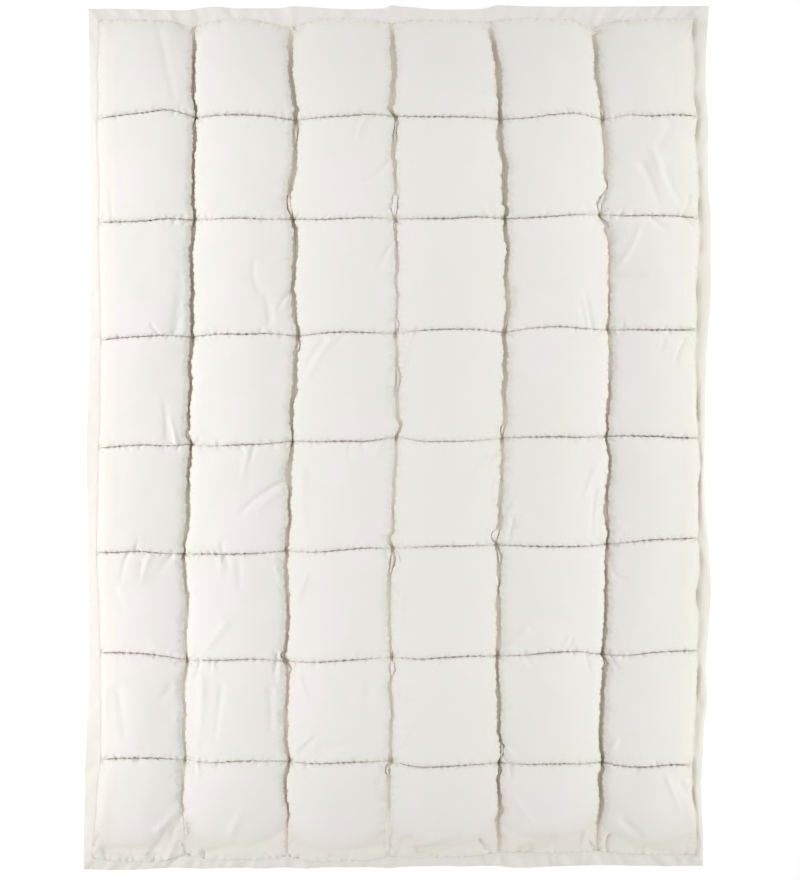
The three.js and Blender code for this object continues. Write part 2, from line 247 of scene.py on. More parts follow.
RIM_RIGHT = np.array([
    ((4, 5, 6, 6, 3), (6, 6, 7, 6, 7), (9, 7, 9, 6, 6), (9, 7, 10, 8, 7), (8, 5, 6, 7, 6)),
    ((5, 5, 6, 5, 7), (12, 7, 8, 8, -3), (10, 8, 6, 5, 7), (8, 6, 10, 6, 8), (7, 10, 6, 3, -3)),
    ((7, 4, 5, 6, 5), (8, 5, 5, 4, 1), (4, 4, 5, 4, 5), (9, 4, 4, 5, 7), (12, 6, 5, 4, 8)),
    ((4, 4, 6, 6, 0), (9, 5, 7, 5, 5), (10, 7, 10, 11, 10), (6, 6, 6, 8, 7), (8, 6, 4, 4, 7)),
    ((3, 4, 6, 5, 4), (8, 7, 5, 4, 4), (9, 9, 7, 3, 3), (9, 2, 7, 4, 9), (9, 5, 6, 6, 6)),
    ((7, 5, 6, 6, 3), (5, 8, 6, 4, 2), (7, 5, 11, 7, 1), (6, 3, 3, 4, 4), (7, 5, 4, 5, 3)),
    ((6, 9, 7, 8, 1), (12, 5, 7, 9, 2), (3, 5, 5, 6, 4), (4, 5, 6, 4, 13), (12, 4, 6, 6, 7)),
    ((2, 5, 8, 7, 2), (4, 7, 4, 4, 4), (3, 6, 6, 7, -3), (8, 4, 8, 7, 7), (3, 6, 6, 4, 4))], float)
DEEP, MIDDLING, SHALLOW = 18.0, 25.0, 33.0  # height of the sewn line above the bed, in three grades
CHANNEL_FLOOR = np.array([  # inner seam 1 to 5, from the head to the foot, a quarter of the way apart
    (DEEP, DEEP, DEEP, SHALLOW, SHALLOW),
    (MIDDLING, DEEP, MIDDLING, MIDDLING, MIDDLING),
    (MIDDLING, SHALLOW, SHALLOW, SHALLOW, SHALLOW),
    (DEEP, DEEP, SHALLOW, MIDDLING, DEEP),
    (DEEP, SHALLOW, MIDDLING, DEEP, DEEP)])
LOWEST_FLOOR, HIGHEST_FLOOR = 16.0, 37.0
UNEVEN_FLOOR = 1.5  # seeded ups and downs of the sewn line
CROSS_HEIGHT = 43.0  # height of a cross seam between two crossings
CROSSING_PIT = 12.0  # and how much lower a crossing lies
FIVE_PLACES = (np.arange(5 * ALONG) + 0.5) / 5
RIM_NOISE = [(0.8, 13, 300), (0.55, 6, 500), (0.2, 2.4, 700)]  # height, length of a swell, first seed
NICK_NOISE = [(0.6, 12, 900), (0.8, 4.0, 1100)]
MIDDLE_NOISE = [(1.0, 12, 230)]
SPAN_X, SPAN_Y = 720, 960  # the noise is laid out from -720 to 720 mm and from -960 to 960 mm


def down_the_seam(table, seam):
    """One inner seam's column of a table, as one list from the head to the foot."""
    return table[:, seam - 1].ravel()


def wavy(count, length, seed):
    """Seeded noise along a line of places, one a millimetre, with swells about length millimetres long."""
    grain = np.random.default_rng(seed).standard_normal(count + 8 * int(length) + 8)
    span = np.arange(-4 * length, 4 * length + 1)
    bell = np.exp(-0.5 * (span / length) ** 2)
    swell = np.convolve(grain, bell / np.sqrt((bell ** 2).sum()), "same")
    return swell[4 * int(length): 4 * int(length) + count]


def ragged(count, noise, seed):
    """Several sizes of noise on top of each other."""
    return sum(height * wavy(count, length, first + seed) for height, length, first in noise)


def rim_offsets():
    """How far each rim of each side seam stands from the sewn line, for every millimetre of y."""
    ys = np.arange(-SPAN_Y, SPAN_Y + 1.0)
    along = np.linspace(0, ALONG, 321)
    line_y = seam_field(np.arange(ACROSS + 1.0), along)[1]
    rims = np.zeros((2, ACROSS + 1, len(ys)))
    for seam in range(1, ACROSS):
        place = np.interp(ys, line_y[::-1, seam], along[::-1])
        pinch = 0.72 - 0.3 * np.exp(-((place - np.round(place)) / 0.04) ** 2)  # tighter at a crossing
        left = -pinch * np.interp(place, FIVE_PLACES, down_the_seam(RIM_LEFT, seam))
        right = pinch * np.interp(place, FIVE_PLACES, down_the_seam(RIM_RIGHT, seam))
        middle, half = (left + right) / 2, (right - left) / 2
        middle = middle + ragged(len(ys), MIDDLE_NOISE, seam)
        for rim in (0, 1):
            out = half + ragged(len(ys), RIM_NOISE, 10 * seam + rim)
            rims[rim, seam] = np.clip(out, 0.8, 9) + (middle if rim else -middle) - SIDE_GAP
    return rims


def nick_offsets():
    """The small nicks in both lips of each cross seam, for every millimetre of x."""
    count = 2 * SPAN_X + 1
    nicks = np.zeros((2, ALONG + 1, count))
    for seam in range(ALONG + 1):
        for lip in (0, 1):
            nicks[lip, seam] = np.clip(0.45 * ragged(count, NICK_NOISE, 10 * seam + lip), 0, 2.0)
    return nicks


print("channels: up to %.0f mm wide, floors at %.0f to %.0f mm" % (
    (RIM_LEFT + RIM_RIGHT).max(), CHANNEL_FLOOR.min(), CHANNEL_FLOOR.max()))

# %% [markdown]
# ## Tufts
#
# Near the crossings the spare cloth of four corners has nowhere to go. It stands up in the channel as a
# leaf-shaped tuft, or pushes the channel aside. These differ from crossing to crossing, so they are
# listed one by one: the seam, the two places along it, counted in pockets, how high the tuft stands, how
# many grid columns it takes at each side, and the push to the right.

# %% Tufts in the channels, listed one by one
TUFTS = [  # inner seam, from, to, lift, columns, push
    (1, 1.02, 1.14, 14, 0, 0), (1, 3.82, 3.98, 8, 1, -6), (2, 0.84, 0.92, 0, 0, 4),
    (2, 1.05, 1.24, 16, 0, 2), (2, 1.74, 1.99, 18, 1, 0), (2, 3.04, 3.16, 14, 0, 3),
    (2, 5.90, 5.99, 16, 0, -8), (2, 6.03, 6.12, 10, 0, 5), (3, 0.87, 0.99, 0, 0, -9),
    (3, 1.03, 1.28, 12, 0, 2), (3, 1.76, 1.99, 14, 1, -2), (3, 2.03, 2.12, 10, 0, -3),
    (3, 2.87, 2.99, 8, 0, 6), (3, 3.82, 3.97, 0, 0, 6), (3, 4.86, 4.99, 0, 0, -7),
    (3, 5.03, 5.24, 13, 0, 2), (3, 6.03, 6.18, 12, 1, 0), (3, 7.03, 7.15, 14, 0, -7),
    (4, 1.86, 1.97, 6, 0, 7), (4, 3.86, 3.98, 12, 0, -3), (4, 4.84, 4.98, 14, 1, -6),
    (4, 5.02, 5.18, 13, 0, 2), (4, 6.80, 6.97, 18, 1, 4), (4, 7.04, 7.18, 12, 0, 3),
    (5, 0.05, 0.10, 0, 0, 7), (5, 0.88, 1.04, 12, 0, 3), (5, 1.74, 1.99, 18, 1, -4),
    (5, 2.02, 2.14, 8, 0, 8), (5, 6.02, 6.12, 12, 0, 5), (5, 7.03, 7.12, 8, 0, 4),
    (1, 4.92, 5.00, 0, 0, 4), (1, 6.95, 7.05, 8, 0, -4), (3, 3.30, 3.60, 8, 0, 2),
    (4, 2.90, 3.04, 10, 0, 3), (4, 4.20, 4.40, 0, 0, -3), (5, 3.86, 4.02, 10, 0, 3),
    (5, 4.62, 4.78, 8, 0, -2), (2, 4.95, 5.03, 10, 0, -3), (2, 2.52, 2.64, 0, 0, -4)]
print("tufts:", len(TUFTS))

# %% [markdown]
# ## The filled face, row by row
#
# The top cloth is one grid of points that runs over all the pockets. Its rows and columns follow the
# cloth, so a seam is always a grid line. A point's height is the seam's height at the bottom of the
# wall, the crown in the middle, and between them the lower of the two profiles, which gives the pockets
# their square corners. Then the walls are pushed sideways to the channels' rims, and the tufts are set
# in. At the duvet's own sides the face falls away over a shoulder, furthest at the foot.

# %% Build the taut top cloth
SHOULDERS = {"left": (12, 50), "right": (10, 45), "head": (22, 70), "foot": (46, 165)}  # drop, reach
CORNER = 4.5  # how square the pockets' corners are
TUFT_REACH = 12  # grid columns over which a tuft's push fades out


def at_places(table, rows, cols):
    """Values between the entries of a table, mixed from the four nearest."""
    r = np.clip(rows, 0, table.shape[0] - 1.0001)
    c = np.clip(cols, 0, table.shape[1] - 1.0001)
    i, j = r.astype(int), c.astype(int)
    a, b = r - i, c - j
    return ((table[i, j] * (1 - b) + table[i, j + 1] * b) * (1 - a)
            + (table[i + 1, j] * (1 - b) + table[i + 1, j + 1] * b) * a)


def fullness(column, row):
    """Pockets aren't filled alike: a few percent more or less in each."""
    return 1 + 0.035 * np.sin(2.1 * column + 1.3 * row) + 0.025 * np.sin(1.1 * column - 2.7 * row)


def face_height(u, v, column, row):
    """Height of the taut face: a shallow dome on each pocket that falls away at the duvet's own sides."""
    dome = DOME_ACROSS * np.abs(2 * (u - column) - 1) ** 2 + DOME_ALONG * np.abs(2 * (v - row) - 1) ** 4
    away = {"left": u * POCKET_X, "right": (ACROSS - u) * POCKET_X,
            "head": v * POCKET_Y, "foot": (ALONG - v) * POCKET_Y}
    falls = [SHOULDERS[side][0] * np.clip(1 - away[side] / SHOULDERS[side][1], 0, 1) ** 2 for side in away]
    fall = sum(f ** 3 for f in np.broadcast_arrays(*falls)) ** (1 / 3)
    return np.maximum(CROWN * fullness(column, row) - dome - fall, EDGE_SEAM + 5)


def channel_floor(places, seam):
    """Height of one inner seam's sewn line at even places down the duvet: its grades, a little uneven."""
    grades = np.interp(places, np.linspace(0, ALONG, 5), CHANNEL_FLOOR[seam - 1])
    return np.clip(grades + UNEVEN_FLOOR * wavy(len(places), 8, 1700 + seam), LOWEST_FLOOR, HIGHEST_FLOOR)


def sewn_height(u, v):
    """Height of the seams, spread smoothly over the net."""
    v = np.clip(v, 0, ALONG)
    places = np.linspace(0, ALONG, 321)
    side = [channel_floor(places, k) for k in range(1, ACROSS)]
    side = np.stack([np.full(321, EDGE_SEAM)] + side + [np.full(321, EDGE_SEAM)], 1)
    left = np.minimum(np.floor(u), ACROSS - 1)
    t = u - left
    k = v / ALONG * 320
    near = np.where(t < 0.5, at_places(side, k, left), at_places(side, k, left + 1))
    height = CROSS_HEIGHT + (near - CROSS_HEIGHT) * np.abs(2 * t - 1) ** 6
    to_crossing = np.hypot((u - np.round(u)) * POCKET_X, (v - np.round(v)) * POCKET_Y)
    height = height - CROSSING_PIT * np.exp(-(to_crossing / 9) ** 2)
    edge = np.minimum(np.minimum(u, ACROSS - u), np.minimum(v, ALONG - v))
    patch = np.clip(0.4 + 0.55 * np.sin(7.1 * v + 0.6) + 0.4 * np.sin(17.3 * v), 0, 1.2)
    sunk = RIGHT_SINK * patch * np.exp(-((ACROSS - u) * POCKET_X / 8) ** 2)
    return EDGE_SEAM + (height - EDGE_SEAM) * np.clip(edge / 0.35, 0, 1) - sunk


def fades(distance, start, reach):
    """One as far as start millimetres from the seam, and softly down to nought over the reach."""
    return (1 - np.clip((distance - start) / reach, 0, 1)) ** 2


def taut_top():
    place_u, high_u, cloth_u = WALK_ACROSS
    place_v, high_v, cloth_v = WALK_ALONG
    # i, j number the grid's columns and rows, and fi, fj count them from the pocket's own seam
    i, j = np.arange(CELLS * ACROSS + 1)[None, :], np.arange(CELLS * ALONG + 1)[:, None]
    col, row = np.minimum(i // CELLS, ACROSS - 1), np.minimum(j // CELLS, ALONG - 1)
    fi, fj = i - col * CELLS, j - row * CELLS
    hu, hv = high_u[fi], high_v[fj]
    slide_u, slide_v = 0.8 + 0.2 * hv, 0.8 + 0.2 * hu
    u = col + fi / CELLS * (1 - slide_u) + place_u[fi] * slide_u
    v = row + fj / CELLS * (1 - slide_v) + place_v[fj] * slide_v
    u[:, ::CELLS], v[::CELLS] = i[:, ::CELLS] // CELLS, j[::CELLS] // CELLS
    fine = 40
    net_x, net_y = seam_field(np.arange(ACROSS * fine + 1) / fine, np.arange(ALONG * fine + 1) / fine)
    x, y = at_places(net_x, v * fine, u * fine), at_places(net_y, v * fine, u * fine)
    # from the seam's height to the face's
    full = (np.maximum(hu, 1e-3) ** -CORNER + np.maximum(hv, 1e-3) ** -CORNER - 1) ** (-1 / CORNER)
    full = np.where((hu < 2e-3) | (hv < 2e-3), 0, full)
    low = sewn_height(u, v)
    z = low + (face_height(u, v, col, row) - low) * full
    # open the channels and nick the cross seams
    to_side = np.minimum(fi, CELLS - fi) / CELLS * cloth_u
    to_cross = np.minimum(fj, CELLS - fj) / CELLS * cloth_v
    rims, nicks = rim_offsets(), nick_offsets()
    at = np.clip(y + SPAN_Y, 0, 2 * SPAN_Y - 1).astype(int)
    push = np.where(fi < CELLS / 2, rims[1, col, at], -rims[0, col + 1, at])
    x = x + push * (np.clip(to_side / SIDE_GAP, 0, 1) * fades(to_side, 36, 50))
    at = np.clip(x + SPAN_X, 0, 2 * SPAN_X - 1).astype(int)
    push = np.where(fj < CELLS / 2, -nicks[1, row, at], nicks[0, row + 1, at])
    y = y + push * (np.clip((to_cross - 2) / 30, 0, 1) * fades(to_cross, 42, 25)) * hu ** 0.5
    for seam, start, end, lift, wide, shift in TUFTS:
        mid = seam * CELLS
        swell = np.sin(np.pi * np.clip((v[:, mid] - start) / (end - start), 0, 1)) ** 0.7
        for step in range(-TUFT_REACH, TUFT_REACH + 1):
            x[:, mid + step] += shift * swell * (1 - abs(step) / (TUFT_REACH + 1))
            if abs(step) <= wide:
                z[:, mid + step] += lift * swell * (1 - 0.2 * abs(step))
    return np.stack([x, y, z]), full, to_side + 0 * to_cross, to_cross + 0 * to_side


TOP, FULL, TO_SIDE, TO_CROSS = taut_top()
SEWN = np.zeros(TOP.shape[1:], bool)
SEWN[::CELLS], SEWN[:, ::CELLS] = True, True
print("top cloth: %d x %d points" % TOP.shape[1:], "highest %.0f mm" % TOP[2].max())

# %% [markdown]
# ## The main creases
#
# A few long soft creases run from the corners over the faces, where the cloth was cut a little too
# large for its pocket, and shorter ones stand at the seams and along the edge. They are listed one by one.
# Each has two ends in millimetres and a depth, which is negative for a ridge. A half width and a bow
# to one side follow where they aren't 4 and 0. A crease is deepest at its first end. The ends were read
# from above too, so each crease is drawn in by its own height over the camera's: low at the head and
# foot edges, high on the faces.

# %% Creases, listed one by one
CREASES = [  # x0, y0, x1, y1, depth, half width, bow, from the head to the foot
    (-529, 916, -492, 744, 1.5, 9), (-499, 938, -472, 907, 2.5), (-446, 920, -424, 938, -2),
    (-221, 944, -208, 911, 2.5), (-56, 938, -41, 902, 2.5), (-28, 949, -23, 907, -2.5),
    (-6, 946, -1, 905, -2.5), (7, 942, 7, 916, 2.5), (175, 944, 190, 909, 3), (153, 935, 175, 913, 2),
    (-81, 718, -96, 660, 2.5, 4, -4), (-72, 704, -89, 654, -2.5, 4, -4), (-648, 478, -653, 553, 2),
    (-633, 478, -637, 546, 2, 4, -2), (-23, 612, -74, 566, 2.5, 4, 7), (535, 605, 575, 500, 2.1, 8, 4),
    (586, 590, 619, 522, 2.1, 8, -4), (560, 630, 593, 550, -2.5, 9), (641, 535, 628, 489, 2.5),
    (656, 535, 663, 478, 2.5), (599, 689, 531, 579, 1.4, 10), (-468, 724, -450, 702, 3, 4, 2),
    (-437, 704, -446, 678, 2.5), (-230, 691, -217, 647, -3, 4, -2), (-221, 691, -230, 641, 3, 4, 2),
    (-17, 735, 1, 704, -3, 7), (-21, 733, -19, 713, 3, 3, -4), (-17, 702, -4, 641, -2, 4, 4),
    (456, 726, 445, 696, 3), (227, 484, 241, 511, 2.5), (192, 524, 212, 484, 2.5, 7),
    (221, 528, 197, 493, -2.5, 7), (-490, 238, -479, 366, 2.5, 11, -2), (-543, 249, -529, 229, 2.5),
    (-283, 260, -301, 335, 2, 9, -4), (-309, 326, -316, 392, 1.8, 6, 7), (-239, 322, -265, 284, 3, 4, -2),
    (-226, 346, -241, 322, 2.5), (-17, 427, -45, 368, 2.8, 5, -2), (1, 484, -12, 451, 3),
    (425, 247, 410, 328, 2.8), (410, 253, 399, 304, 2.2), (463, 359, 542, 361, 3.2, 6, -4),
    (491, 388, 531, 467, -2.2, 7, -4), (557, 487, 588, 460, 3, 4, -2), (630, 487, 654, 456, 3, 4, 2),
    (-490, -13, -503, 42, -3, 5), (-510, -6, -516, 84, 2.6, 7, -2), (-499, -11, -501, 29, 2.5),
    (-235, 60, -252, 73, 2.5), (-224, 205, -232, 168, -2.5), (-162, 218, -213, 137, 3.2, 5, -4),
    (-149, 214, -199, 130, -2.5, 6, -4), (-118, 227, -140, 203, 2), (-221, 223, -208, 203, 2.8),
    (-12, 106, -23, 40, 2.2, 7), (-17, 152, -21, 82, 2.2, 3), (38, 236, 3, 104, 3.5, 5, -4),
    (12, 229, 3, 128, 4, 10), (12, 84, 7, 29, 2.2, 9), (-4, 38, 3, 11, -2.5, 4, -4),
    (252, 326, 247, 280, 2.6, 8), (463, 163, 474, 157, 2.5), (630, 218, 608, 159, 3, 4, -4),
    (584, 216, 575, 190, 1.8), (-580, -250, -571, -220, 1.8), (-246, -92, -347, -165, 3.8, 5, -7),
    (-259, -118, -309, -162, -2, 6, -4), (-235, -30, -248, -88, 2.5, 6, 2), (-349, -17, -336, -41, 2.4),
    (-318, -17, -325, -50, 2.4), (-334, -30, -342, -83, -1.8, 7), (-107, -11, -109, -39, 2.2),
    (-81, -8, -74, -35, 2.2), (-39, -11, -52, -46, -2.4, 5), (-210, -70, -204, -215, -1.6, 9, -4),
    (197, -39, 168, -77, -3, 5), (223, -26, 192, -68, 3), (208, -92, 203, -226, 1.8),
    (18, -176, 3, -226, -2, 6), (199, -222, 223, -195, -3.5, 6), (192, -204, 203, -235, 3, 4, 2),
    (436, -66, 412, -129, -2, 6, -4), (434, -114, 425, -215, 2.4, 4, -2), (443, -136, 439, -222, 2.2),
    (254, -145, 234, -184, -2.4), (252, -180, 241, -226, 2.8), (236, -154, 227, -189, 2.4),
    (373, 5, 370, -22, 2), (-595, -253, -611, -314, 2.8, 5, -2), (-547, -259, -569, -314, -2.2, 7),
    (-565, -275, -571, -316, 2.2), (-666, -319, -642, -360, -1.3, 10), (-626, -330, -606, -385, 1.3, 10),
    (-503, -259, -525, -294, 1.8, 8), (-389, -233, -386, -270, 3), (-393, -257, -389, -303, -2.4),
    (-380, -257, -373, -290, 2.6), (-351, -272, -349, -325, 1.8, 7), (-382, -411, -426, -468, -1.8, 8),
    (-261, -266, -243, -305, 3), (-270, -286, -250, -336, -2.4, 5), (-204, -308, -224, -360, -2.4, 6),
    (-4, -264, 14, -360, -3.2, 6, 4), (-1, -253, 7, -308, 3.4, 4, 2), (-10, -330, 10, -363, 2.6),
    (14, -356, 7, -415, 2.4, 5, -2), (-28, -242, -21, -272, 2.8, 4, -4), (280, -420, 238, -464, -2.6, 5),
    (375, -437, 357, -473, -2.2), (381, -444, 368, -473, 2), (465, -259, 478, -308, 2.8, 4, -2),
    (478, -303, 507, -316, 2), (-644, -554, -639, -666, -2.2, 7, -4), (-617, -554, -602, -657, 1.8, 9),
    (-503, -550, -525, -580, 1.8, 9), (-408, -488, -404, -517, -3), (-413, -486, -411, -508, 3, 3),
    (-439, -490, -450, -536, 2.6, 4, 2), (-433, -532, -444, -677, -2.2, 9, 4),
    (-389, -550, -404, -666, 1.8, 7), (-259, -473, -263, -534, -4.5),
    (-270, -477, -272, -532, 3.4, 3, -2), (-250, -481, -237, -508, 3.4), (-283, -554, -279, -644, 2.2, 7),
    (-217, -528, -202, -578, -2.4, 5), (-224, -684, -193, -657, -3.2, 5), (-184, -660, -219, -695, 2, 5),
    (-169, -688, -61, -666, 2.2, 13), (-63, -550, -74, -589, 1.8, 11), (3, -554, 7, -624, 2.4, 4, -2),
    (25, -552, 10, -578, -2.4, 5), (14, -633, 60, -600, -2.4, 7, -2), (3, -679, 32, -629, -2.4, 5),
    (21, -576, 38, -605, 2.2, 6), (278, -475, 296, -508, 2), (412, -475, 419, -512, 2),
    (216, -666, 243, -684, -3.2), (227, -693, 249, -748, 4.5, 3, 4), (219, -666, 190, -710, 2.8),
    (236, -682, 258, -708, -2.5, 5), (465, -477, 485, -512, 2.4), (478, -668, 463, -693, -3, 6),
    (-646, -908, -545, -895, 3.2, 9, -4), (-507, -926, -479, -860, -3.4, 7),
    (-547, -919, -501, -849, 2.8, 7), (-529, -862, -474, -794, -2.6, 7, -4),
    (-499, -869, -472, -822, 2.4, 5), (-444, -704, -439, -745, -3.2), (-450, -708, -448, -743, 3, 3),
    (-485, -710, -481, -732, 2.8, 4, 4), (-428, -913, -358, -895, 3.4, 7, -2),
    (-367, -866, -347, -825, -2.2, 9), (-241, -710, -217, -745, 4.2, 4, 2),
    (-232, -721, -206, -741, -2.6), (-206, -719, -188, -737, 2.4), (-226, -926, -193, -917, 2.6),
    (-32, -897, -111, -910, 2.8, 11), (-41, -756, -30, -884, 2.2, 11), (-149, -919, -116, -930, 2.4),
    (-6, -712, 10, -761, 3.4, 4, 2), (-17, -717, 1, -765, -3.2), (16, -717, 21, -754, -2.4),
    (-39, -723, -41, -750, 3, 4, 4), (42, -908, 130, -880, 6, 10, -6),
    (56, -897, 104, -836, -3.6, 10, -7), (179, -886, 203, -919, 4.2), (-10, -910, 5, -869, -3.2, 5),
    (25, -880, -6, -895, 2.4, 5), (268, -914, 335, -878, 6.5, 11), (243, -875, 291, -849, -2.2, 9),
    (254, -796, 291, -842, -2, 7), (412, -871, 401, -908, -2.8, 5), (421, -893, 445, -919, 3.2),
    (463, -877, 472, -935, 4.2, 4, -9), (496, -842, 533, -875, 3.2, 9), (518, -906, 564, -897, 3.4, 7),
    (553, -908, 632, -917, 2.6, 5), (593, -752, 621, -820, -2.4, 7), (621, -761, 643, -798, 2.4, 5),
    (645, -750, 659, -776, 3), (-672, -228, -661, -270, 3.4), (-675, -455, -655, -490, 3),
    (-664, -690, -648, -730, 2.4), (-679, -910, -664, -880, 3), (-540, -932, -529, -906, 3.4),
    (-639, -941, -648, -910, 3), (-613, -941, -609, -915, 2.6), (-578, -941, -587, -910, 2.6),
    (-426, -946, -428, -910, 2.8), (-239, -948, -246, -913, 2.6), (-118, -941, -109, -910, 2.2),
    (663, -576, 650, -666, 2.6), (674, -554, 665, -633, -2), (44, -908, 64, -898, 6, 5),
    (267, -911, 286, -899, 7, 6)]
CREASES = [crease + (4, 0)[len(crease) - 5:] for crease in CREASES]
CREASE_LOW, CREASE_RISE = 30, 26  # height at the head and foot edges, and how much more on the faces


def at_its_height(crease):
    """The camera sees a raised crease further out than it is, so it is drawn in by its own height."""
    height = CREASE_LOW + CREASE_RISE * min(max((935 - abs(crease[1])) / 120, 0), 1)
    return tuple((1 - height / CAMERA_UP) * place for place in crease[:4]) + crease[4:]


def crease_depth(x, y, creases):
    """How deep the creases are at each place, and how high the ridges, taken as negative."""
    total = np.zeros_like(x)
    for x0, y0, x1, y1, depth, half, bow in creases:
        length = math.hypot(x1 - x0, y1 - y0)
        reach = length / 2 + 2.5 * half + abs(bow)
        near = (np.abs(x - (x0 + x1) / 2) < reach) & (np.abs(y - (y0 + y1) / 2) < reach)
        px, py = x[near] - x0, y[near] - y0
        ux, uy = (x1 - x0) / length, (y1 - y0) / length
        s = (px * ux + py * uy) / length
        off = px * -uy + py * ux - bow * 4 * s * (1 - s)
        held = np.clip(s, 0, 1)
        ends = np.exp(-((s - held) * length / half) ** 2)
        total[near] += depth * np.exp(-(off / half) ** 2) * ends * (1 - 0.7 * held)
    return total


print("creases:", len(CREASES), "of them", sum(crease[4] < 0 for crease in CREASES), "ridges")

# %% [markdown]
# ## The many small folds
#
# Besides those there are hundreds of small ones, too many to place by hand. They follow a rule: short
# folds fan out from every crossing, lean into the face from the channels, and stand square to the cross
# seams, closest together and longest at the head and the foot of the duvet. A seeded draw gives each its
# place, length and depth, so the result is the same every time. The listed creases are cut deeper
# towards the foot, as on the real duvet, and a faint unevenness of the filling lies under all.

# %% Small folds by rule
AT_CROSSING, AT_CHANNEL, AT_CROSS_SEAM, AT_EDGE = 7, 3, 6, 11  # folds to a crossing, or to a pocket's side
CREASE_STRENGTH, MORE_AT_FOOT = 1.5, 0.7
LOWEST_AT_FOOT = 17  # no fold at the foot goes lower than this


def cloudy(shape, down, across, seed):
    """Seeded noise over a grid, blurred by so many cells each way, with a spread of one."""
    grain = np.random.default_rng(seed).standard_normal(shape)
    rows = np.fft.fftfreq(shape[0])[:, None] * down
    cols = np.fft.rfftfreq(shape[1])[None, :] * across
    out = np.fft.irfft2(np.fft.rfft2(grain) * np.exp(-2 * np.pi ** 2 * (rows ** 2 + cols ** 2)), s=shape)
    return out / out.std()


def small_folds(seed):
    draw = np.random.default_rng(seed)
    x, y = seam_field(np.arange(0, ACROSS + 0.001, 0.01), np.arange(0, ALONG + 0.001, 0.01))
    folds = []

    def fold(col, row, angle, start, *ranges):
        length, depth, half = [draw.uniform(low, high) for low, high in ranges]
        i, j = int(round(min(max(row, 0), ALONG) * 100)), int(round(min(max(col, 0), ACROSS) * 100))
        dx, dy = math.cos(angle), math.sin(angle)
        folds.append((x[i, j] + start * dx, y[i, j] + start * dy, x[i, j] + (start + length) * dx,
                      y[i, j] + (start + length) * dy, depth, half, draw.normal(0, 0.1) * length))

    # after the angle and the start come the ranges of length, depth and half width, in millimetres
    for row in range(ALONG + 1):
        for col in range(ACROSS + 1):
            for k in range(AT_CROSSING):
                turn = (k + draw.uniform(0.1, 0.9)) / AT_CROSSING * 2 * math.pi
                if k % 3 == 0:
                    fold(col, row, turn, 4, (9, 22), (4.5, 8), (2.8, 3.8))
                else:
                    fold(col, row, turn, 8, (10, 36), (-2.2, 2.6), (3.6, 6))
    for row in range(ALONG):
        for col in range(1, ACROSS):
            for side in (0, math.pi):
                for place in draw.uniform(0.06, 0.94, AT_CHANNEL):
                    fold(col, row + place, side + draw.normal(0, 0.7), 9, (6, 26), (-1.6, 2.0), (3.4, 7))
    for row in range(ALONG + 1):
        count, start, longest = (AT_EDGE, 0, 26) if row in (0, ALONG) else (AT_CROSS_SEAM, 1, 16)
        for col in range(ACROSS):
            for side in (math.pi / 2, -math.pi / 2):
                for place in draw.uniform(0.03, 0.97, count):
                    fold(col + place, row, side + draw.normal(0, 0.4), start,
                         (4, longest), (-1.5, 3.2), (2.6, 4.2))
    return folds


SMALL_FOLDS = small_folds(11)
ON_FACE = np.where(SEWN, 0, np.clip(FULL * 1.6 - 0.15, 0, 1))
TOP[2] += (0.9 * cloudy(FULL.shape, 13, 13, 51) + 0.35 * cloudy(FULL.shape, 5, 5, 52)) * ON_FACE
strength = CREASE_STRENGTH + np.clip((-800 - TOP[1]) / 100, 0, MORE_AT_FOOT)
TOP[2] -= strength * crease_depth(TOP[0], TOP[1], [at_its_height(c) for c in CREASES]) * ON_FACE
TOP[2] -= crease_depth(TOP[0], TOP[1], SMALL_FOLDS) * ON_FACE
TOP[2] = np.where((TOP[1] < -860) & (ON_FACE > 0), np.maximum(TOP[2], LOWEST_AT_FOOT), TOP[2])
print("folds by rule:", len(SMALL_FOLDS))

# %% [markdown]
# ## Gathers at the seams
#
# Beside a seam there is more cloth than the sewn line has room for, and it puckers. Blender's Cloth
# would need a mesh of half a million points and many minutes for folds this small. So the same idea is
# done here with arrays: every edge of the grid has a length it wants, a little more than it has beside
# the seams, and a few dozen rounds of moving the points towards those lengths let the spare cloth
# settle into folds. The sewn points don't move, and the filling holds the cloth near its taut shape.
#
# A stretched, seeded noise on the walls decides where the first small folds stand, so that each run
# settles in the same way.

# %% How much spare cloth there is, and where the folds start
CELL = WALK_ACROSS[2] / CELLS  # millimetres of cloth from one grid point to the next
GATHER, GATHER_CORNER = 0.06, 0.03  # spare length beside a seam and at a crossing, of one
FIRST_FOLD = 1.6


def wall_noise(down, across, seed):
    """Cloudy noise over the top cloth, blurred by so many millimetres each way."""
    return cloudy(FULL.shape, down / CELL, across / CELL, seed)


def beside(distance, start, reach):
    """One as far as start millimetres from a seam, and nought well past it."""
    return np.exp(-(np.clip(distance - start, 0, None) / reach) ** 2)


patchy = np.clip(0.55 + 0.6 * wall_noise(28, 28, 43), 0, 1.8)
side = (0.3 * wall_noise(3.4, 12, 41) + 0.75 * wall_noise(9, 16, 44)) * patchy
cross = 0.8 * wall_noise(12, 4.2, 42) * patchy
on_wall = np.clip(FULL / 0.25, 0, 1) * (1 - np.clip((FULL - 0.86) / 0.12, 0, 1))
near_side, near_cross = beside(TO_SIDE, 30, 8), beside(TO_CROSS, 24, 7)
both = np.clip(side, -0.5, 2.2) * near_side + 0.7 * np.clip(cross, -0.5, 2.2) * near_cross
FOLD = FIRST_FOLD * on_wall * both
corner = GATHER_CORNER * np.exp(-(TO_SIDE ** 2 + TO_CROSS ** 2) / 45.0 ** 2)
EASE_U = GATHER * near_cross * on_wall + corner
EASE_V = GATHER * near_side * on_wall + corner
print("first folds: up to %.1f mm, spare cloth: up to %.0f %%" % (FOLD.max(), 100 * EASE_U.max()))

# %% Let the spare cloth settle
F = np.float32


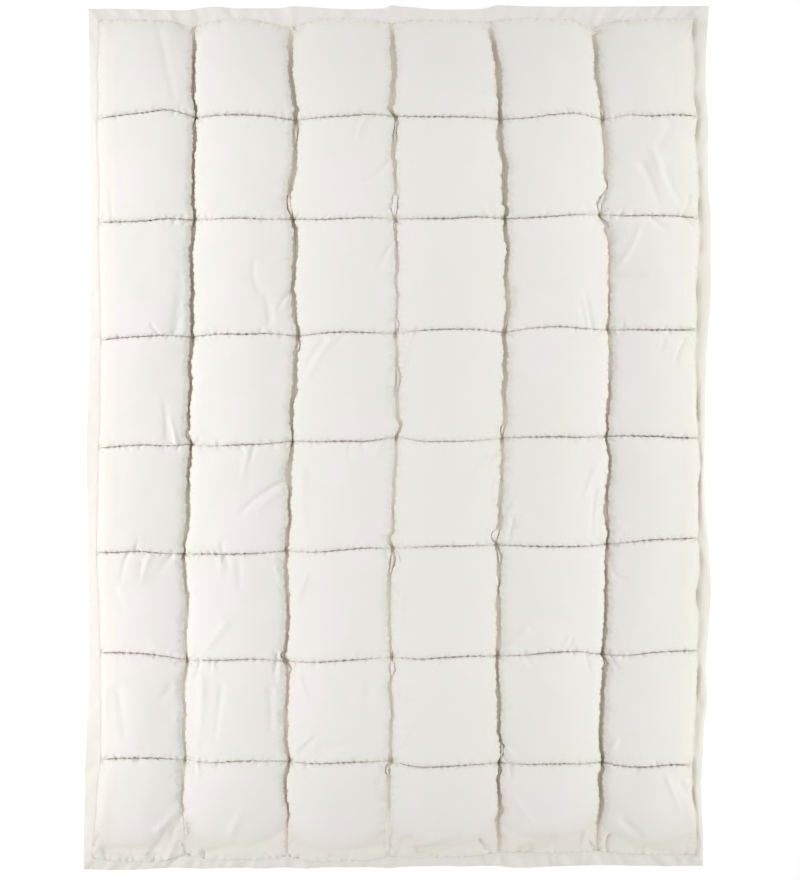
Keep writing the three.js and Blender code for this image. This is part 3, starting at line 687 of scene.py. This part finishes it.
def outward(p):
    """Unit vectors standing on the cloth."""
    du, dv = np.gradient(p, axis=2), np.gradient(p, axis=1)
    n = np.stack([dv[1] * du[2] - dv[2] * du[1], dv[2] * du[0] - dv[0] * du[2],
                  dv[0] * du[1] - dv[1] * du[0]])
    return n / (np.sqrt((n ** 2).sum(0)) + 1e-9)


def settle(taut, rounds):
    free = (~SEWN).astype(F)
    stand = outward(taut).astype(F)
    p = (taut - stand * FOLD * free).astype(F)
    taut = taut.astype(F)
    every = slice(None)
    ties = []

    def tie(step_r, step_c, ease, strength, groups, keep=1):
        """Ties every point to the one step_r rows and step_c columns on, in groups that share no point."""
        rows, cols = SEWN.shape
        a = slice(0, rows - step_r), slice(max(0, -step_c), cols - max(0, step_c))
        b = slice(step_r, rows), slice(max(0, step_c), cols - max(0, -step_c))
        want = np.sqrt(((taut[(every,) + b] - taut[(every,) + a]) ** 2).sum(0))
        want = want * (1 + 0.5 * (ease[b] + ease[a]) + 0.004)
        total = np.maximum(free[a] + free[b], 1)
        pull_a, pull_b = free[a] / total * (strength * keep), free[b] / total * (strength * keep)
        for g in range(groups):
            part = (slice(g, None, groups), every) if step_r else (every, slice(g, None, groups))
            ends = [p[(every,) + end][(every,) + part] for end in (a, b)]
            ties.append(ends + [k[part].astype(F) for k in (want, pull_a, pull_b)])

    tie(0, 1, EASE_U, 1.0, 2)
    tie(1, 0, EASE_V, 1.0, 2)
    tie(1, 1, 0.5 * (EASE_U + EASE_V), 0.15, 2)
    tie(1, -1, 0.5 * (EASE_U + EASE_V), 0.15, 2)
    # ties two steps long keep the cloth from creasing sharply, but not across a seam
    tie(0, 2, EASE_U * 0.5, 0.05, 4, (~SEWN[:, 1:-1] | SEWN[:, :-2]).astype(F))
    tie(2, 0, EASE_V * 0.5, 0.05, 4, (~SEWN[1:-1] | SEWN[:-2]).astype(F))
    before = p.copy()
    for _ in range(rounds):
        drift = (p - before) * F(0.9)
        before[...] = p
        p += drift * free
        for end_a, end_b, want, pull_a, pull_b in ties * 2:
            gap = end_b - end_a
            length = np.sqrt((gap * gap).sum(0)) + F(1e-6)
            gap *= (length - want) / length
            end_a += gap * pull_a
            end_b -= gap * pull_b
        # the filling: half a millimetre outwards is free, and inwards it gives softly
        out = ((p - taut) * stand).sum(0)
        hold = np.where(out > 0.5, (0.5 - out) * F(0.5), np.where(out < -1, (-1 - out) * F(0.02), F(0)))
        p += stand * (hold * free)
    return p


SETTLED = settle(TOP, 50)
moved = np.sqrt(((SETTLED - TOP) ** 2).sum(0))
print("settled in %.0f s, moved up to %.1f mm" % (time.time() - STARTED, moved.max()))

# %% [markdown]
# ## The sewn edge
#
# Outside the last seam the two cloths lie flat on each other as a band about 22 mm wide, turned in at
# its outer line. The band is a little longer than the seam that it hangs on, so it ruffles, most of all
# at the head and the foot. At the left its outer line droops, and at the right the band puffs up a
# little beyond the seam. The outer line is drawn through a few places on each side, and the rows
# between follow the seam at one side and that line at the other.

# %% Outer line of the edge, in millimetres
LEFT_LINE = [(946, -683), (678, -679), (410, -677), (357, -677), (172, -682), (-30, -688), (-268, -684),
             (-514, -681), (-730, -691), (-928, -694)]
RIGHT_LINE = [(946, 683), (806, 672), (674, 683), (621, 676), (489, 687), (304, 687), (172, 676), (18, 674),
              (-118, 672), (-303, 687), (-356, 687), (-514, 674), (-567, 681), (-673, 667), (-752, 667),
              (-778, 661), (-858, 670), (-932, 670)]
HEAD_LINE = [(-683, 946), (-569, 944), (-468, 940), (-415, 951), (-362, 946), (-296, 942), (-230, 951),
             (-129, 944), (-45, 938), (-19, 953), (69, 944), (139, 935), (219, 953), (311, 949), (681, 951)]
FOOT_LINE = [(-690, -950), (-573, -950), (-521, -943), (-428, -948), (-362, -943), (-309, -948), (-257, -943),
             (-217, -948), (-125, -941), (-19, -946), (60, -939), (139, -943), (192, -939), (271, -946),
             (355, -941), (430, -939), (553, -941), (667, -941)]
OUTER = [(HEAD_LINE, -683, 683), (RIGHT_LINE, -941, 950), (FOOT_LINE, -693, 670), (LEFT_LINE, -950, 946)]
EDGE_ROWS = 6
EDGE_TIP = 19.0  # height of the outer line
DROOP, PUFF = 8, 4  # how far the tip hangs at the left, and how far the band rises at the right
CLOTH_PAIR = 4.5  # between the upper and the lower cloth at a seam
RUFFLES = [(1.0, 61, 0.3), (0.9, 97, 1.9), (0.7, 143, 4.1), (0.5, 223, 0.9)]  # height, swells, phase


def line_at(line, places):
    """The outer line at any places, with its bends softened."""
    table = np.array(sorted(line), float)
    soft = np.interp(places, table[:, 0], table[:, 1])
    return np.convolve(np.pad(soft, 6, "edge"), np.ones(13) / 13, "valid")


def once_round(head, right, foot, left):
    """Four sides as one ring, without naming a corner twice."""
    return np.concatenate([head[..., :-1], right[..., :-1], foot[..., :0:-1], left[..., :0:-1]], -1)


def rim_of(grid):
    """The outer ring of a grid, once round: head, right side, foot, left side."""
    return once_round(grid[..., 0, :], grid[..., -1], grid[..., -1, :], grid[..., 0])


def stretched(values, low, high):
    return low + (values - values.min()) / (values.max() - values.min()) * (high - low)


def running(grid):
    """The coordinate that runs along each side of a grid: head, right side, foot, left side."""
    return grid[0, 0], grid[1, :, -1], grid[0, -1], grid[1, :, 0]


def way_round(grid):
    """How far round the duvet each rim point is, 0 to 4, the same for both cloths."""
    return once_round(*[stretched(side, *ends) for side, ends in zip(
        running(grid), ((0, 1), (2, 1), (3, 2), (3, 4)))])


def outer_ring(grid):
    """The outer line as a ring with as many points as the grid's rim."""
    ring = []
    for side, (line, low, high) in zip(running(grid), OUTER):
        along = stretched(side, low, high)
        off = line_at(line, along)
        ring.append(np.stack([along, off] if line in (HEAD_LINE, FOOT_LINE) else [off, along]))
    return once_round(*ring)


def edge_band(grid, drop):
    """Rows of points from the outer seam to the turned edge. drop is how far this cloth lies below."""
    inner, outer = rim_of(grid), outer_ring(grid) * (1 - EDGE_TIP / CAMERA_UP)
    turn = way_round(grid) / 4 * 2 * np.pi
    swells = RUFFLES if drop == 0 else RUFFLES[:2]
    ruffle = sum(h * np.sin(k * turn + a) for h, k, a in swells)
    droop = np.clip((-640 - outer[0]) / 20, 0, 1) * DROOP
    puff = np.clip((outer[0] - 640) / 20, 0, 1) * PUFF
    lively = 1 + np.clip((np.abs(outer[1]) - 930) / 10, 0, 1)
    rows = []
    for k in range(1, EDGE_ROWS + 1):
        t = k / EDGE_ROWS
        x = inner[0] * (1 - t) + outer[0] * t
        y = inner[1] * (1 - t) + outer[1] * t
        flat = EDGE_SEAM * (1 - t) + (EDGE_TIP - droop) * t + puff * np.sin(np.pi * t)
        z = flat + lively * ruffle * np.sin(np.pi * min(1.0, t * 0.8)) - drop + (drop * 0.4 * t ** 6)
        if drop == 0:
            dent = 1.5 * crease_depth(x, y, CREASES) + 1.1 * crease_depth(x, y, SMALL_FOLDS)
            z = z - np.clip(dent, -3.5, 1.5) * (1 - 0.85 * t ** 3)
        rows.append(np.stack([x, y, z]))
    return rows


BAND_TOP = edge_band(SETTLED, 0.0)
print("edge:", EDGE_ROWS, "rows of", BAND_TOP[0].shape[1], "points")

# %% [markdown]
# ## The underside
#
# The lower cloth is sewn to the upper one at every seam and filled like it, and the duvet's weight
# presses its pockets flat on the bed. So it is the same net again with a coarser grid: flat in the
# middle of each pocket, and drawn up to the sewn line at the seams. The grid is crowded near the seams,
# where the cloth bends.

# %% Build the lower cloth
UNDER_CELLS = 20
CROWDING = 0.75
DRAWN_X, DRAWN_Y = 0.075, 0.07  # how far from a seam the cloth leaves the bed, in pockets


def lower_cloth(cells):
    t = np.linspace(0, 1, cells + 1)[:-1]
    crowded = t - CROWDING * np.sin(2 * np.pi * t) / (2 * np.pi)
    across = np.concatenate([k + crowded for k in range(ACROSS)] + [[ACROSS]])
    along = np.concatenate([k + crowded for k in range(ALONG)] + [[ALONG]])
    x, y = seam_field(across, along)
    u, v = across[None, :] + 0 * along[:, None], along[:, None] + 0 * across[None, :]
    drawn = np.maximum(1 - np.abs(u - np.round(u)) / DRAWN_X, 1 - np.abs(v - np.round(v)) / DRAWN_Y)
    drawn = np.clip(drawn, 0, 1) ** 1.6
    pucker = 0.8 * cloudy(x.shape, 0.8, 0.8, 77) * np.clip(drawn * 3, 0, 1) * (1 - drawn)
    return np.stack([x, y, (sewn_height(u, v) - CLOTH_PAIR) * drawn + np.clip(pucker, 0, 3)])


UNDER = lower_cloth(UNDER_CELLS)
BAND_UNDER = edge_band(UNDER, CLOTH_PAIR)
print("lower cloth: %d x %d points" % UNDER.shape[1:])

# %% [markdown]
# ## One closed mesh
#
# The two cloths, the band and the turned edge become one closed surface. The grids turn into quads, and
# the last rings of the upper and the lower band are zipped together with triangles, because they don't
# have the same number of points.

# %% Join the cloths
POINTS, QUADS, TRIS = [], [], []


def keep_points(block):
    start = sum(len(p) for p in POINTS)
    flat = block.reshape(3, -1).T / 1000
    POINTS.append(flat)
    return start + np.arange(len(flat)).reshape(block.shape[1:])


def sheet_faces(index, up):
    a, b, c, d = index[:-1, :-1], index[:-1, 1:], index[1:, 1:], index[1:, :-1]
    order = (a, d, c, b) if up else (a, b, c, d)
    QUADS.append(np.stack([k.ravel() for k in order], 1))


def ring_faces(inner, outer, up):
    inner_next, outer_next = np.roll(inner, -1), np.roll(outer, -1)
    order = (inner, inner_next, outer_next, outer) if up else (inner, outer, outer_next, inner_next)
    QUADS.append(np.stack(order, 1))


def zip_rings(upper, lower):
    """Joins two rings of different counts with triangles, walking both at the same pace."""
    i = j = 0
    n, m = len(upper), len(lower)
    while i < n or j < m:
        if j >= m or (i < n and (i + 1) * m <= (j + 1) * n):
            TRIS.append((upper[i % n], upper[(i + 1) % n], lower[j % m]))
            i += 1
        else:
            TRIS.append((upper[i % n], lower[(j + 1) % m], lower[j % m]))
            j += 1


def lay_band(index, rows, up):
    """Lays a band row by row outside a cloth, and gives back its last row."""
    ring = rim_of(index)
    for row in rows:
        following = keep_points(row)
        ring_faces(ring, following, up)
        ring = following
    return ring


def mesh_from(points, quads, tris, name):
    loops = np.concatenate([quads.ravel(), np.array(tris, int).ravel()]).astype(np.int32)
    starts = np.concatenate([np.arange(0, quads.size, 4), quads.size + np.arange(0, 3 * len(tris), 3)])
    mesh = bpy.data.meshes.new(name)
    mesh.vertices.add(len(points))
    mesh.vertices.foreach_set("co", points.astype(F).ravel())
    mesh.loops.add(len(loops))
    mesh.loops.foreach_set("vertex_index", loops)
    mesh.polygons.add(len(starts))
    mesh.polygons.foreach_set("loop_start", starts.astype(np.int32))
    mesh.update(calc_edges=True)
    mesh.validate()
    return mesh


top_index, under_index = keep_points(SETTLED), keep_points(UNDER)
sheet_faces(top_index, True)
sheet_faces(under_index, False)
zip_rings(lay_band(top_index, BAND_TOP, True), lay_band(under_index, BAND_UNDER, False))
raw = mesh_from(np.concatenate(POINTS), np.concatenate(QUADS), TRIS, "duvet_cloth")
print("raw mesh:", len(raw.vertices), "points,", len(raw.polygons), "faces")

# %% [markdown]
# ## Fewer triangles
#
# A piece that others will use again should be light. Decimate takes points away where the cloth is flat
# and keeps them in the folds. The shading is smooth but for the few edges that turn by more than 65
# degrees, at the foot of a wall or in a tight fold, so that those stay crisp.

# %% Thin the mesh where it is flat
MOST_TRIANGLES = 190000
SHARP_ANGLE = math.radians(65)


def show(name, data):
    """Puts a mesh, lamp or camera in the scene, at the origin."""
    made = bpy.data.objects.new(name, data)
    bpy.context.scene.collection.objects.link(made)
    return made


def apply_modifiers(thing):
    """Gives an object the mesh that its modifiers make, and takes them off."""
    raw_mesh = thing.data
    made = bpy.data.meshes.new_from_object(thing.evaluated_get(bpy.context.evaluated_depsgraph_get()))
    thing.modifiers.clear()
    thing.data = made
    bpy.data.meshes.remove(raw_mesh)
    made.name = thing.name
    return made


duvet = show("duvet_cloth", raw)
thin = duvet.modifiers.new("thin", "DECIMATE")
thin.ratio = MOST_TRIANGLES / (2 * sum(len(q) for q in QUADS) + len(TRIS))
thin.use_collapse_triangulate = True
done = apply_modifiers(duvet)
done.polygons.foreach_set("use_smooth", np.ones(len(done.polygons), bool))
done.set_sharp_from_angle(angle=SHARP_ANGLE)
print("thinned to", len(done.polygons), "triangles at %.0f s" % (time.time() - STARTED))

# %% [markdown]
# ## Painted shade in the channels
#
# Light that reaches the bottom of a channel has met the cream cloth several times, and it is browner
# there. That is painted into the cloth's colour as shade: the mesh carries one number a point for it,
# nought on the face and one at the sewn line, and the cloth's material mixes in a browner colour by it.
# The edge band lies in the pockets' shade and gets some of this painted shade too: none at the head,
# some at the left and the foot, and most at the right.

# %% Painted shade attribute
SHADE_FROM, SHADE_OVER = 46, 18  # the height where it starts, and the drop over which it grows to one
# how much painted shade the edge band gets at each side
EDGE_SHADE = {"left": 0.3, "head": 0.0, "foot": 0.25, "right": 0.5}


# Painted shade: the number grows as a point lies lower than the faces and nearer a side seam's sewn line, and
# the band gets a set amount by side
def paint_depth_shade(mesh):
    co = np.empty(len(mesh.vertices) * 3, F)
    mesh.vertices.foreach_get("co", co)
    x, y, z = co.reshape(-1, 3).T * 1000
    inside = np.clip((640 - np.abs(x)) / 30, 0, 1) * np.clip((915 - np.abs(y)) / 20, 0, 1)
    value = np.clip((SHADE_FROM - z) / SHADE_OVER, 0, 1)
    line_x, line_y = seam_field(np.arange(ACROSS + 1.0), np.linspace(0, ALONG, 161))
    off = np.min([np.abs(x - np.interp(y, line_y[::-1, k], line_x[::-1, k]))
                  for k in range(1, ACROSS)], axis=0)
    value = value * (0.55 + 0.45 * np.exp(-(off / 3.5) ** 2)) * inside * (z > 14)
    # painted shade on the edge band, set by side
    edge = np.where(x < -640, EDGE_SHADE["left"], np.where(y > 915, EDGE_SHADE["head"], np.where(
        y < -915, EDGE_SHADE["foot"], EDGE_SHADE["right"])))
    value = np.maximum(value, edge * (1 - inside) * (z > 8))
    mesh.attributes.new("depth_shade", "FLOAT", "POINT").data.foreach_set("value", value.astype(F))
    return value


# the painted shade amount of every point, kept for the count below
DEEP = paint_depth_shade(done)
print("deep: more than a half at", int((DEEP > 0.5).sum()), "points")

# %% [markdown]
# ## Stitches
#
# The seams are lockstitched, about three stitches to the centimetre, and show along the edge. A stitch
# repeats along a path, which is what Geometry Nodes do well: the seams are drawn as lines, resampled at
# one stitch apart, and a short bead of thread is set on each point and turned along the line.

# %% Seam lines as a mesh of edges
def seam_lines():
    points, edges = [], []

    def line(block, closed=False):
        start = sum(len(p) for p in points)
        points.append(block.T / 1000)
        count = block.shape[1]
        edges.extend((start + k, start + k + 1) for k in range(count - 1))
        if closed:
            edges.append((start + count - 1, start))

    lift = np.array([[0], [0], [0.5]])  # the thread lies half a millimetre above the sewn line
    for k in range(1, ALONG):
        line(SETTLED[:, k * CELLS, ::4] + lift)
    for k in range(1, ACROSS):
        line(SETTLED[:, ::4, k * CELLS] + lift)
    line(rim_of(SETTLED[:, ::4, ::4]) + lift, True)
    mesh = bpy.data.meshes.new("seam_lines")
    mesh.from_pydata(np.concatenate(points).tolist(), edges, [])
    return mesh


stitches = show("stitches", seam_lines())
print("seam lines:", len(stitches.data.edges), "edges")

# %% Thread material
def set_inputs(node, values):
    for name, value in values.items():
        node.inputs[name].default_value = value


def matt_material(name, values):
    """A new material, with the values that its Principled shader starts from."""
    made = bpy.data.materials.new(name)
    made.use_nodes = True
    set_inputs(made.node_tree.nodes["Principled BSDF"], values)
    return made


def add_node(tree, kind, values=None):
    made = tree.nodes.new(kind)
    set_inputs(made, values or {})
    return made


thread = matt_material("cream_thread", {"Base Color": (0.84, 0.82, 0.77, 1), "Roughness": 0.7})
strand = thread.node_tree
ply_place = add_node(strand, "ShaderNodeTexCoord")
ply = add_node(strand, "ShaderNodeTexNoise", {"Scale": 900.0})
ply_bump = add_node(strand, "ShaderNodeBump", {"Distance": 0.0001})
strand.links.new(ply_place.outputs["Object"], ply.inputs["Vector"])
strand.links.new(ply.outputs["Fac"], ply_bump.inputs["Height"])
strand.links.new(ply_bump.outputs["Normal"], strand.nodes["Principled BSDF"].inputs["Normal"])
print("thread: cream, matt,", len(strand.nodes), "nodes")

# %% Stitch tree in Geometry Nodes
STITCH = {"Stitch pitch": 0.0034, "Stitch length": 0.0027, "Thread width": 0.0007}  # metres


def stitch_tree():
    tree = bpy.data.node_groups.new("stitch_line", "GeometryNodeTree")
    face = tree.interface
    face.new_socket("Geometry", in_out="INPUT", socket_type="NodeSocketGeometry")
    keys = [face.new_socket(name, in_out="INPUT", socket_type="NodeSocketFloat").identifier
            for name in STITCH]
    face.new_socket("Geometry", in_out="OUTPUT", socket_type="NodeSocketGeometry")
    add = tree.nodes.new
    inp, out = add("NodeGroupInput"), add("NodeGroupOutput")
    to_curve, resample = add("GeometryNodeMeshToCurve"), add("GeometryNodeResampleCurve")
    bead, scale = add("GeometryNodeMeshIcoSphere"), add("ShaderNodeCombineXYZ")
    place, turn = add("GeometryNodeInstanceOnPoints"), add("FunctionNodeAlignEulerToVector")
    tangent, real = add("GeometryNodeInputTangent"), add("GeometryNodeRealizeInstances")
    paint, smooth = add("GeometryNodeSetMaterial"), add("GeometryNodeSetShadeSmooth")
    resample.mode = "LENGTH"
    turn.axis = "X"
    bead.inputs["Subdivisions"].default_value = 1
    bead.inputs["Radius"].default_value = 0.5
    paint.inputs["Material"].default_value = thread
    wire = tree.links.new
    line = [inp, to_curve, resample, place, real, smooth, paint, out]
    for one, following in zip(line, line[1:]):
        wire(one.outputs[0], following.inputs[0])
    wire(inp.outputs["Stitch pitch"], resample.inputs["Length"])
    wire(bead.outputs["Mesh"], place.inputs["Instance"])
    wire(tangent.outputs[0], turn.inputs["Vector"])
    wire(turn.outputs[0], place.inputs["Rotation"])
    for axis, name in enumerate(("Stitch length", "Thread width", "Thread width")):
        wire(inp.outputs[name], scale.inputs[axis])
    wire(scale.outputs[0], place.inputs["Scale"])
    return tree, keys


tree, keys = stitch_tree()
sew = stitches.modifiers.new("sew", "NODES")
sew.node_group = tree
for key, value in zip(keys, STITCH.values()):
    sew[key] = value
sewn = apply_modifiers(stitches)
print("stitches:", len(sewn.polygons) // 20, "beads,", len(sewn.polygons), "triangles")

# %% [markdown]
# ## Unbleached cotton
#
# The cloth is a close plain weave with a matt face. From a step away it is one off-white with faint
# clouds in it, some a little pink and some a little olive, and only close to it do the threads show.
# The clouds are a noise, stretched so that both tones are reached. The painted shade number mixes in a
# browner tone, which is shade painted into the channels and on the edge band, and the weave is two
# crossing waves in the bump, half a millimetre apart.

# %% Cotton material
# the third colour is painted shade, mixed in at the channels and on the edge band
PINKISH, OLIVE, SHADE_BROWN = (0.876, 0.838, 0.819, 1), (0.848, 0.840, 0.791, 1), (0.80, 0.765, 0.668, 1)
THREAD_PITCH = 0.0005
WAVE_AT_ONE = 0.31  # a wave texture of scale 1 repeats about this far apart
cotton = matt_material("unbleached_cotton", {
    "Roughness": 0.9, "Specular IOR Level": 0.2, "Sheen Weight": 0.15, "Sheen Roughness": 0.6})
cloth = cotton.node_tree
body = cloth.nodes["Principled BSDF"]
wire = cloth.links.new
where = add_node(cloth, "ShaderNodeTexCoord")
clouds = add_node(cloth, "ShaderNodeTexNoise", {"Scale": 9.0, "Detail": 2.0})
spread = add_node(cloth, "ShaderNodeMapRange", {"From Min": 0.38, "From Max": 0.62})
tone, shade_mix = add_node(cloth, "ShaderNodeMix"), add_node(cloth, "ShaderNodeMix")
tone.data_type = shade_mix.data_type = "RGBA"
set_inputs(tone, {"A": PINKISH, "B": OLIVE})
set_inputs(shade_mix, {"B": SHADE_BROWN})
# reads the painted shade amount that the mesh carries, to mix in the browner colour
depth_shade = add_node(cloth, "ShaderNodeAttribute")
depth_shade.attribute_name = "depth_shade"
wire(where.outputs["Object"], clouds.inputs["Vector"])
wire(clouds.outputs["Fac"], spread.inputs["Value"])
wire(spread.outputs["Result"], tone.inputs["Factor"])
wire(depth_shade.outputs["Fac"], shade_mix.inputs["Factor"])
wire(tone.outputs["Result"], shade_mix.inputs["A"])
wire(shade_mix.outputs["Result"], body.inputs["Base Color"])


def thread_wave(direction):
    wave = add_node(cloth, "ShaderNodeTexWave", {
        "Scale": 1 / THREAD_PITCH * WAVE_AT_ONE, "Distortion": 0.6, "Detail": 1.0})
    wave.bands_direction = direction
    wire(where.outputs["Object"], wave.inputs["Vector"])
    return wave


weave = add_node(cloth, "ShaderNodeMath")
weave.operation = "MULTIPLY"
bump = add_node(cloth, "ShaderNodeBump", {"Strength": 0.15, "Distance": 0.0002})
wire(thread_wave("X").outputs["Fac"], weave.inputs[0])
wire(thread_wave("Y").outputs["Fac"], weave.inputs[1])
wire(weave.outputs[0], bump.inputs["Height"])
wire(bump.outputs["Normal"], body.inputs["Normal"])
done.materials.append(cotton)
print("cotton:", len(cloth.nodes), "nodes")

# %% [markdown]
# ## Floor, light and camera
#
# The duvet lies on a plain white floor in the light of three long soft lamps, one at each side and a
# weaker one at the head, under a pale sky. The floor gives off a little light of its own, so that it
# shows as plain white. The camera hangs straight above the middle and looks down.

# %% Stage
floor_mesh = bpy.data.meshes.new("floor")
floor_mesh.from_pydata([(-6, -6, 0), (6, -6, 0), (6, 6, 0), (-6, 6, 0)], [], [(0, 1, 2, 3)])
floor = show("floor", floor_mesh)
floor.location.z = -0.0005
WHITE = (1, 1, 1, 1)
floor_mesh.materials.append(matt_material("white_floor", {
    "Base Color": (0.9, 0.9, 0.9, 1), "Roughness": 0.9,
    "Emission Color": WHITE, "Emission Strength": 0.265}))
sky = bpy.data.worlds.new("pale_sky")
sky.use_nodes = True
set_inputs(sky.node_tree.nodes["Background"], {"Color": WHITE, "Strength": 0.702})
bpy.context.scene.world = sky


def soft_lamp(name, place, aim, size, watts, spread, colour=(1, 1, 1)):
    """A long soft lamp with a grid in front, so that it lights mostly what it is aimed at."""
    lamp = bpy.data.lights.new(name, "AREA")
    lamp.shape = "RECTANGLE"
    lamp.size, lamp.size_y = size
    lamp.energy = watts
    lamp.spread = math.radians(spread)
    lamp.color = colour
    holder = show(name, lamp)
    holder.location = place
    holder.rotation_euler = (Vector(aim) - Vector(place)).to_track_quat("-Z", "Y").to_euler()


soft_lamp("lamp_left", (-3.0, 0, 2.0), (-0.45, 0, 0), (2.02, 0.3), 1.94, 20, (1, 0.985, 0.985))
soft_lamp("lamp_right", (3.0, 0, 2.0), (0.45, 0, 0), (2.02, 0.3), 1.48, 20, (0.985, 1, 0.96))
soft_lamp("lamp_head", (0, 3.2, 1.9), (0, -0.2, 0), (2.2, 0.3), 0.7, 60)
print("stage: floor, sky and three lamps")

# %% Camera
HEIGHT = CAMERA_UP / 1000
VIEW_WIDTH = 1.76  # metres of floor from side to side of the picture
lens = bpy.data.cameras.new("camera")
lens.sensor_width = 36
lens.sensor_fit = "HORIZONTAL"
lens.lens = lens.sensor_width * HEIGHT / VIEW_WIDTH
camera = show("camera", lens)
camera.location = (0.003, -0.004, HEIGHT)  # a few millimetres off the middle, as in the photograph
bpy.context.scene.camera = camera
bpy.context.scene.view_settings.view_transform = "Standard"
print("camera %.1f m above, lens %.0f mm" % (HEIGHT, lens.lens))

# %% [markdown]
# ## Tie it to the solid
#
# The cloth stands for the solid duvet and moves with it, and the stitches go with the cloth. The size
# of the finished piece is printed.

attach(duvet, "root")
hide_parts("duvet")
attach(stitches, "root")
floor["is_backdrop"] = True
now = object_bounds()
print("finished at %.0f s, size" % (time.time() - STARTED), [round(b - a, 3) for a, b in zip(*now)])
